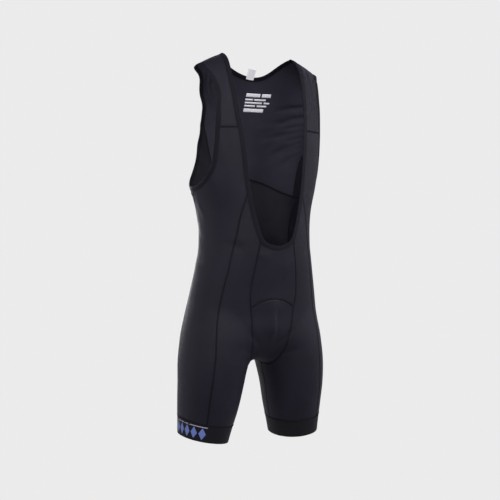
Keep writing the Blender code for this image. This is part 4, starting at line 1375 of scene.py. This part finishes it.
def flatlock(name, seams, material, stitch_material, inside=False):
    """The flat seams of a group of panels: ribbons of thread with a zigzag cover thread on them."""
    ribbons, covers = [], []
    for line, closed in seams:
        fine = fine_line(line, closed)
        for outward in (1.0, -1.0) if inside else (1.0,):
            ribbons.append(strip(fine, closed, SEAM_SECTION, outward))
            covers.append(cover_stitch(fine, closed, outward))
    ribbon = new_piece(name, *gathered(ribbons), material)
    stitches = new_piece(name + "_threads", *gathered(covers), stitch_material)


def seam_lines(grids):
    """Every sewn line as (points, closed), by the piece of the model that it goes to."""
    lines = {"seams_front": [], "seams_back": [], "seams_bands": []}
    belly = WAIST_ROWS + 1 + BELLY_ROWS
    for side in ("R", "L"):
        outer, front = grids["side_panel_" + side], grids["front_panel_" + side]
        lines["seams_front"] += [
            (outer[0], False),
            (outer[CHEST_ROWS:, 0], False),
            (front[WAIST_ROWS + 1:belly + 1, 0], False),
            (front[belly:belly + CROTCH_ROWS + CROTCH_SEAM_STEPS + 1, 0], False),
            (front[-THIGH_ROWS - 1:, 0], False),
        ]
        lines["seams_back"] += [
            (outer[CHEST_ROWS:, -1], False),
            (grids["yoke_" + side][0], False),
            (grids["underarm_" + side][:, 0], False),
            (grids["seat_" + side][0], False),
        ]
        lines["seams_bands"].append((grids["band_" + side][0], True))
    lines["seams_front"] += [(grids["centre_front"][-1], False), (grids["gusset"][-1], False)]
    back = WAIST_ROWS + BELLY_ROWS + CROTCH_ROWS + 1
    lines["seams_back"].append((grids["seat_L"][:back, -1], False))
    return lines


def folded_tag(material):
    """The small tag: one tape folded over at its top, its ends in the neck seam."""
    x = np.linspace(TAG_X - TAG_WIDTH / 2.0, TAG_X + TAG_WIDTH / 2.0, TAG_COLUMNS + 1)
    line = through(NECK_BACK)
    edge = on_back(x, np.interp(x, line[:, 0], line[:, 1]))
    up = normals(edge)
    rise = np.cross(up, stack(-1.0, 0.0, 0.0))
    rows = np.linspace(TAG_SEWN_AT, TAG_ABOVE - TAG_FOLD, TAG_STEPS)
    fold = TAG_ABOVE - TAG_FOLD_ROUND
    half = TAG_LEAF_GAP / 2.0
    path = np.concatenate([
        np.stack([rows, np.full(len(rows), half)], -1),
        [(fold, half * TAG_FOLD_SHARE), (TAG_ABOVE, 0.0), (fold, -half * TAG_FOLD_SHARE)],
        np.stack([rows[::-1], np.full(len(rows), -half)], -1),
    ])
    run = np.gradient(path, axis=0)
    run /= np.linalg.norm(run, axis=1, keepdims=True)
    square = np.stack([-run[:, 1], run[:, 0]], -1) * TAG_LEAF / 2.0
    climb, deep = np.concatenate([path + square, (path - square)[::-1]]).T
    curl = np.sin(math.pi * (x - x[0]) / TAG_WIDTH)[:, None] * np.clip(climb / TAG_ABOVE, 0.0, 1.0) ** 2
    depth = deep[None, :] - TAG_DEPTH - TAG_THICKNESS / 2.0 - TAG_CURL * curl
    points = edge[:, None] + rise[:, None] * climb[None, :, None] + up[:, None] * depth[..., None]
    flat = points.reshape(-1, 3)
    faces = tube_faces(len(x), len(climb), False)
    charts = np.stack(np.broadcast_arrays(x[:, None], climb[None, :]), -1).reshape(-1, 2)
    piece = new_piece("folded_tag", flat, outward_faces(flat, faces), material, charts)
    piece.data.set_sharp_from_angle(angle=math.radians(TAG_EDGE_DEGREES))
    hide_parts("neck_tag")


def printed(name, patches, material, outward):
    """Flat prints that lie on the cloth, each from a grid of points on the figure."""
    parts = []
    for grid in patches:
        near = on_cloth(grid, outward * (CLOTH_THICKNESS / 2.0 + PRINT_LIFT))
        far = near + outward * PRINT_THICKNESS * normals(grid)
        rows, columns = grid.shape[:2]
        points = np.concatenate([near.reshape(-1, 3), far.reshape(-1, 3)])
        faces = shell_faces(rows, columns, False).tolist()
        parts.append((points, outward_faces(points, faces)))
    return new_piece(name, *gathered(parts), material)


def bar_patches():
    """Plain bars in rows, printed on the inside of the back."""
    patches = []
    for left, right, top, bottom in PRINT_BARS:
        columns = max(3, round((right - left) / PRINT_CELL))
        rows = max(2, round((top - bottom) / PRINT_CELL))
        x = np.linspace(PRINT_X + left, PRINT_X + right, columns + 1)
        z = np.linspace(PRINT_Z + top, PRINT_Z + bottom, rows + 1)
        patches.append(on_back(*np.meshgrid(x, z)))
    return patches


def lozenge_patches():
    """A row of plain lozenges on the outside of the wearer's right band."""
    patches = []
    cells = np.linspace(-0.5, 0.5, LOZENGE_CELLS + 1)
    u, v = np.meshgrid(cells, cells)
    for degrees in LOZENGE_TURNS:
        turn = math.radians(degrees) + math.radians(LOZENGE_HALF_TURN) * (u + v)
        patches.append(mirrored(on_turn(turn, LOZENGE_Z + LOZENGE_HALF_HEIGHT * (u - v)), "R"))
    return patches


def line_patch():
    """The thin pale line above the lozenges."""
    turn = np.radians(np.linspace(*BAND_LINE_TURN, BAND_LINE_CELLS + 1))[None, :]
    half = BAND_LINE_WIDTH / 2.0
    z = np.linspace(BAND_LINE_Z + half, BAND_LINE_Z - half, 3)[:, None]
    return [mirrored(on_turn(turn + 0.0 * z, z + 0.0 * turn), "R")]


def socket(group, name, kind, way, value=None):
    made = group.interface.new_socket(name=name, in_out=way, socket_type=kind)
    if value is not None:
        made.default_value = value
    return made


def filled(node, **values):
    """Sets a node's inputs by name, with underscores for spaces."""
    for name, value in values.items():
        node.inputs[name.replace("_", " ")].default_value = value
    return node


def placed(tree, kind, **values):
    return filled(tree.nodes.new(kind), **values)


def grouped(tree, group, **values):
    node = tree.nodes.new("ShaderNodeGroup")
    node.node_tree = group
    return filled(node, **values)


def math_node(tree, operation, first, second=None):
    """A Math node. An input is a socket or a number."""
    node = tree.nodes.new("ShaderNodeMath")
    node.operation = operation
    for place, value in enumerate((first, second)):
        if value is None:
            continue
        if isinstance(value, bpy.types.NodeSocket):
            tree.links.new(value, node.inputs[place])
        else:
            node.inputs[place].default_value = value
    return node.outputs[0]


def knit_group():
    """Height of a knitted face: columns of slanting stitches, with a fine fuzz."""
    tree = bpy.data.node_groups.new("knitted_face", "ShaderNodeTree")
    socket(tree, "Cloth", "NodeSocketVector", "INPUT")
    socket(tree, "Stitches Across", "NodeSocketFloat", "INPUT", 1400.0)
    socket(tree, "Stitches Down", "NodeSocketFloat", "INPUT", 1100.0)
    socket(tree, "Fuzz", "NodeSocketFloat", "INPUT", 0.4)
    socket(tree, "Height", "NodeSocketFloat", "OUTPUT")
    start = tree.nodes.new("NodeGroupInput")
    end = tree.nodes.new("NodeGroupOutput")
    split = tree.nodes.new("ShaderNodeSeparateXYZ")
    tree.links.new(start.outputs["Cloth"], split.inputs[0])
    across = math_node(tree, "MULTIPLY", split.outputs[0], start.outputs["Stitches Across"])
    down = math_node(tree, "MULTIPLY", split.outputs[1], start.outputs["Stitches Down"])
    slanted = math_node(tree, "ADD", down, math_node(tree, "PINGPONG", across, 0.5))
    loop = math_node(tree, "SINE", math_node(tree, "MULTIPLY", slanted, 2.0 * math.pi))
    column_of = math_node(tree, "SINE", math_node(tree, "MULTIPLY", across, math.pi))
    stitch = math_node(tree, "ADD", math_node(tree, "MULTIPLY", loop, KNIT_LOOP), 1.0 - KNIT_LOOP)
    height = math_node(tree, "MULTIPLY", math_node(tree, "ABSOLUTE", column_of), stitch)
    noise = placed(tree, "ShaderNodeTexNoise", Scale=FUZZ_SCALE, Detail=2.0)
    tree.links.new(start.outputs["Cloth"], noise.inputs["Vector"])
    fuzz = math_node(tree, "MULTIPLY", noise.outputs["Fac"], start.outputs["Fuzz"])
    tree.links.new(math_node(tree, "ADD", height, fuzz), end.inputs["Height"])
    return tree


def tone_group():
    """Uneven tone of the cloth, darker within SEAM_TONE_REACH of its seams."""
    tree = bpy.data.node_groups.new("cloth_tone", "ShaderNodeTree")
    socket(tree, "Place", "NodeSocketVector", "INPUT")
    socket(tree, "Seam Reach", "NodeSocketFloat", "INPUT", 1.0)
    socket(tree, "Deep", "NodeSocketColor", "INPUT")
    socket(tree, "Worn", "NodeSocketColor", "INPUT")
    socket(tree, "Least Rough", "NodeSocketFloat", "INPUT", 0.45)
    socket(tree, "Most Rough", "NodeSocketFloat", "INPUT", 0.60)
    socket(tree, "Color", "NodeSocketColor", "OUTPUT")
    socket(tree, "Roughness", "NodeSocketFloat", "OUTPUT")
    start = tree.nodes.new("NodeGroupInput")
    end = tree.nodes.new("NodeGroupOutput")
    broad = placed(tree, "ShaderNodeTexNoise", Scale=BROAD_SCALE, Detail=3.0)
    lint = placed(tree, "ShaderNodeTexNoise", Scale=LINT_SCALE, Detail=2.0)
    for noise in (broad, lint):
        tree.links.new(start.outputs["Place"], noise.inputs["Vector"])
    both = math_node(tree, "ADD", math_node(tree, "MULTIPLY", broad.outputs["Fac"], BROAD_SHARE),
                     math_node(tree, "MULTIPLY", lint.outputs["Fac"], 1.0 - BROAD_SHARE))
    spread = placed(tree, "ShaderNodeMapRange", From_Min=BROAD_RANGE[0], From_Max=BROAD_RANGE[1])
    near = placed(tree, "ShaderNodeMapRange", From_Max=SEAM_TONE_REACH, To_Min=SEAM_TONE)
    rough = placed(tree, "ShaderNodeMapRange", From_Min=LINT_RANGE[0], From_Max=LINT_RANGE[1])
    mix = tree.nodes.new("ShaderNodeMix")
    mix.data_type = "RGBA"
    tree.links.new(both, spread.inputs["Value"])
    tree.links.new(start.outputs["Seam Reach"], near.inputs["Value"])
    share = math_node(tree, "MULTIPLY", spread.outputs["Result"], near.outputs["Result"])
    tree.links.new(share, mix.inputs["Factor"])
    tree.links.new(start.outputs["Deep"], mix.inputs[6])
    tree.links.new(start.outputs["Worn"], mix.inputs[7])
    tree.links.new(mix.outputs[2], end.inputs["Color"])
    tree.links.new(lint.outputs["Fac"], rough.inputs["Value"])
    tree.links.new(start.outputs["Least Rough"], rough.inputs["To Min"])
    tree.links.new(start.outputs["Most Rough"], rough.inputs["To Max"])
    tree.links.new(rough.outputs["Result"], end.inputs["Roughness"])
    return tree


def dyed(name):
    """A dyed textile or an ink, from its row of the finishes."""
    deep, worn, rough, knit, relief_height, sheen, specular, follows_cut = FINISHES[name]
    material = bpy.data.materials.new(name)
    material.use_nodes = True
    tree = material.node_tree
    shader = tree.nodes["Principled BSDF"]
    place = tree.nodes.new("ShaderNodeTexCoord").outputs["Object"]
    tone = grouped(tree, TONE, Deep=(*deep, 1.0), Worn=(*worn, 1.0),
                   Least_Rough=rough[0], Most_Rough=rough[1])
    tree.links.new(place, tone.inputs["Place"])
    if follows_cut:
        reach_of = tree.nodes.new("ShaderNodeAttribute")
        reach_of.attribute_name = "seam_reach"
        tree.links.new(reach_of.outputs["Fac"], tone.inputs["Seam Reach"])
        chart = tree.nodes.new("ShaderNodeUVMap")
        chart.uv_map = "cloth"
        place = chart.outputs["UV"]
    face = grouped(tree, KNIT, Stitches_Across=knit[0], Stitches_Down=knit[1], Fuzz=knit[2])
    tree.links.new(place, face.inputs["Cloth"])
    relief = placed(tree, "ShaderNodeBump", Strength=KNIT_STRENGTH, Distance=relief_height)
    tree.links.new(face.outputs["Height"], relief.inputs["Height"])
    tree.links.new(relief.outputs["Normal"], shader.inputs["Normal"])
    tree.links.new(tone.outputs["Color"], shader.inputs["Base Color"])
    tree.links.new(tone.outputs["Roughness"], shader.inputs["Roughness"])
    filled(shader, Specular_IOR_Level=specular, Sheen_Weight=sheen, Sheen_Roughness=SHEEN_ROUGHNESS,
           Sheen_Tint=SHEEN_TINT)
    return material


def pale_glow():
    """A floor that is the same pale grey wherever the camera stands."""
    material = bpy.data.materials.new("pale_floor")
    material.use_nodes = True
    tree = material.node_tree
    tree.nodes.clear()
    glow = placed(tree, "ShaderNodeEmission", Color=(*BACKDROP, 1.0))
    out = tree.nodes.new("ShaderNodeOutputMaterial")
    tree.links.new(glow.outputs[0], out.inputs["Surface"])
    return material


def floor():
    mesh = bpy.data.meshes.new("floor")
    turn = np.linspace(0.0, 2.0 * math.pi, FLOOR_SIDES, endpoint=False)
    points = stack(FLOOR_RADIUS * np.cos(turn), FLOOR_RADIUS * np.sin(turn), FLOOR_Z)
    mesh.from_pydata(points.tolist(), [], [list(range(FLOOR_SIDES))])
    mesh.materials.append(pale_glow())
    piece = bpy.data.objects.new("floor", mesh)
    for ray in ("visible_diffuse", "visible_glossy", "visible_shadow", "visible_transmission"):
        setattr(piece, ray, False)
    bpy.context.scene.collection.objects.link(piece)


def room_light():
    """Pale grey where the camera looks, and a weaker light from all round on the cloth."""
    world = bpy.data.worlds.new("studio")
    world.use_nodes = True
    tree = world.node_tree
    tree.nodes.clear()
    seen = placed(tree, "ShaderNodeBackground", Color=(*BACKDROP, 1.0))
    soft = placed(tree, "ShaderNodeBackground", Color=(*ROOM_COLOUR, 1.0), Strength=ROOM_STRENGTH)
    ray = tree.nodes.new("ShaderNodeLightPath")
    mix = tree.nodes.new("ShaderNodeMixShader")
    out = tree.nodes.new("ShaderNodeOutputWorld")
    tree.links.new(ray.outputs["Is Camera Ray"], mix.inputs["Fac"])
    tree.links.new(soft.outputs[0], mix.inputs[1])
    tree.links.new(seen.outputs[0], mix.inputs[2])
    tree.links.new(mix.outputs[0], out.inputs["Surface"])
    bpy.context.scene.world = world


def soft_boxes():
    for name, place, size, power, colour in SOFT_BOXES:
        data = bpy.data.lights.new(name, "AREA")
        data.shape = "RECTANGLE"
        data.size, data.size_y = size
        data.energy = power
        data.color = colour
        lamp = bpy.data.objects.new(name, data)
        lamp.location = place
        lamp.rotation_euler = (Vector(BODY_MIDDLE) - Vector(place)).to_track_quat("-Z", "Y").to_euler()
        bpy.context.scene.collection.objects.link(lamp)


def camera():
    data = bpy.data.cameras.new("camera")
    data.sensor_width = CAMERA_SENSOR
    data.lens = CAMERA_LENS
    data.shift_x = CAMERA_SHIFT
    made = bpy.data.objects.new("camera", data)
    made.location = CAMERA_PLACE
    made.rotation_euler = (math.pi / 2.0, 0.0, math.radians(CAMERA_TURN))
    bpy.context.scene.collection.objects.link(made)
    bpy.context.scene.camera = made
    bpy.context.scene.view_settings.view_transform = "Standard"


KNIT, TONE = knit_group(), tone_group()
MATERIALS = {name: dyed(name) for name in FINISHES}
TAPE, THREAD = MATERIALS["binding_tape"], MATERIALS["sewing_thread"]

camera()
room_light()
soft_boxes()
floor()

grids = all_grids()
CLOTHS = {
    # panels of another cloth than panel_cloth
    "back_mesh": "back_cloth",
    "underarm": "insert_cloth",
    "band": "band_cloth",
}
for node, grid in grids.items():
    slot = CLOTHS.get(node.removesuffix("_R").removesuffix("_L"), "panel_cloth")
    panel("cloth_" + node, node, slot, grid, MATERIALS[slot], node.startswith("band"))

bound_edge("neck_tape", "neck_binding", neck_edge(grids), TAPE, THREAD)
bound_edge("arm_tape_R", "arm_binding_R", armhole_edge(grids, "R")[::-1], TAPE, THREAD)
bound_edge("arm_tape_L", "arm_binding_L", armhole_edge(grids, "L"), TAPE, THREAD)
for name, seams in seam_lines(grids).items():
    flatlock(name, seams, TAPE, THREAD, inside=name == "seams_back")
folded_tag(MATERIALS["tag_tape"])
for name, patches, ink, outward, slot in (
    ("inner_back_print", bar_patches(), "white_ink", -1.0, "back_cloth"),
    ("band_lozenges", lozenge_patches(), "blue_ink", 1.0, "band_cloth"),
    ("band_pale_line", line_patch(), "pale_ink", 1.0, "band_cloth"),
):
    printed(name, patches, MATERIALS[ink], outward)
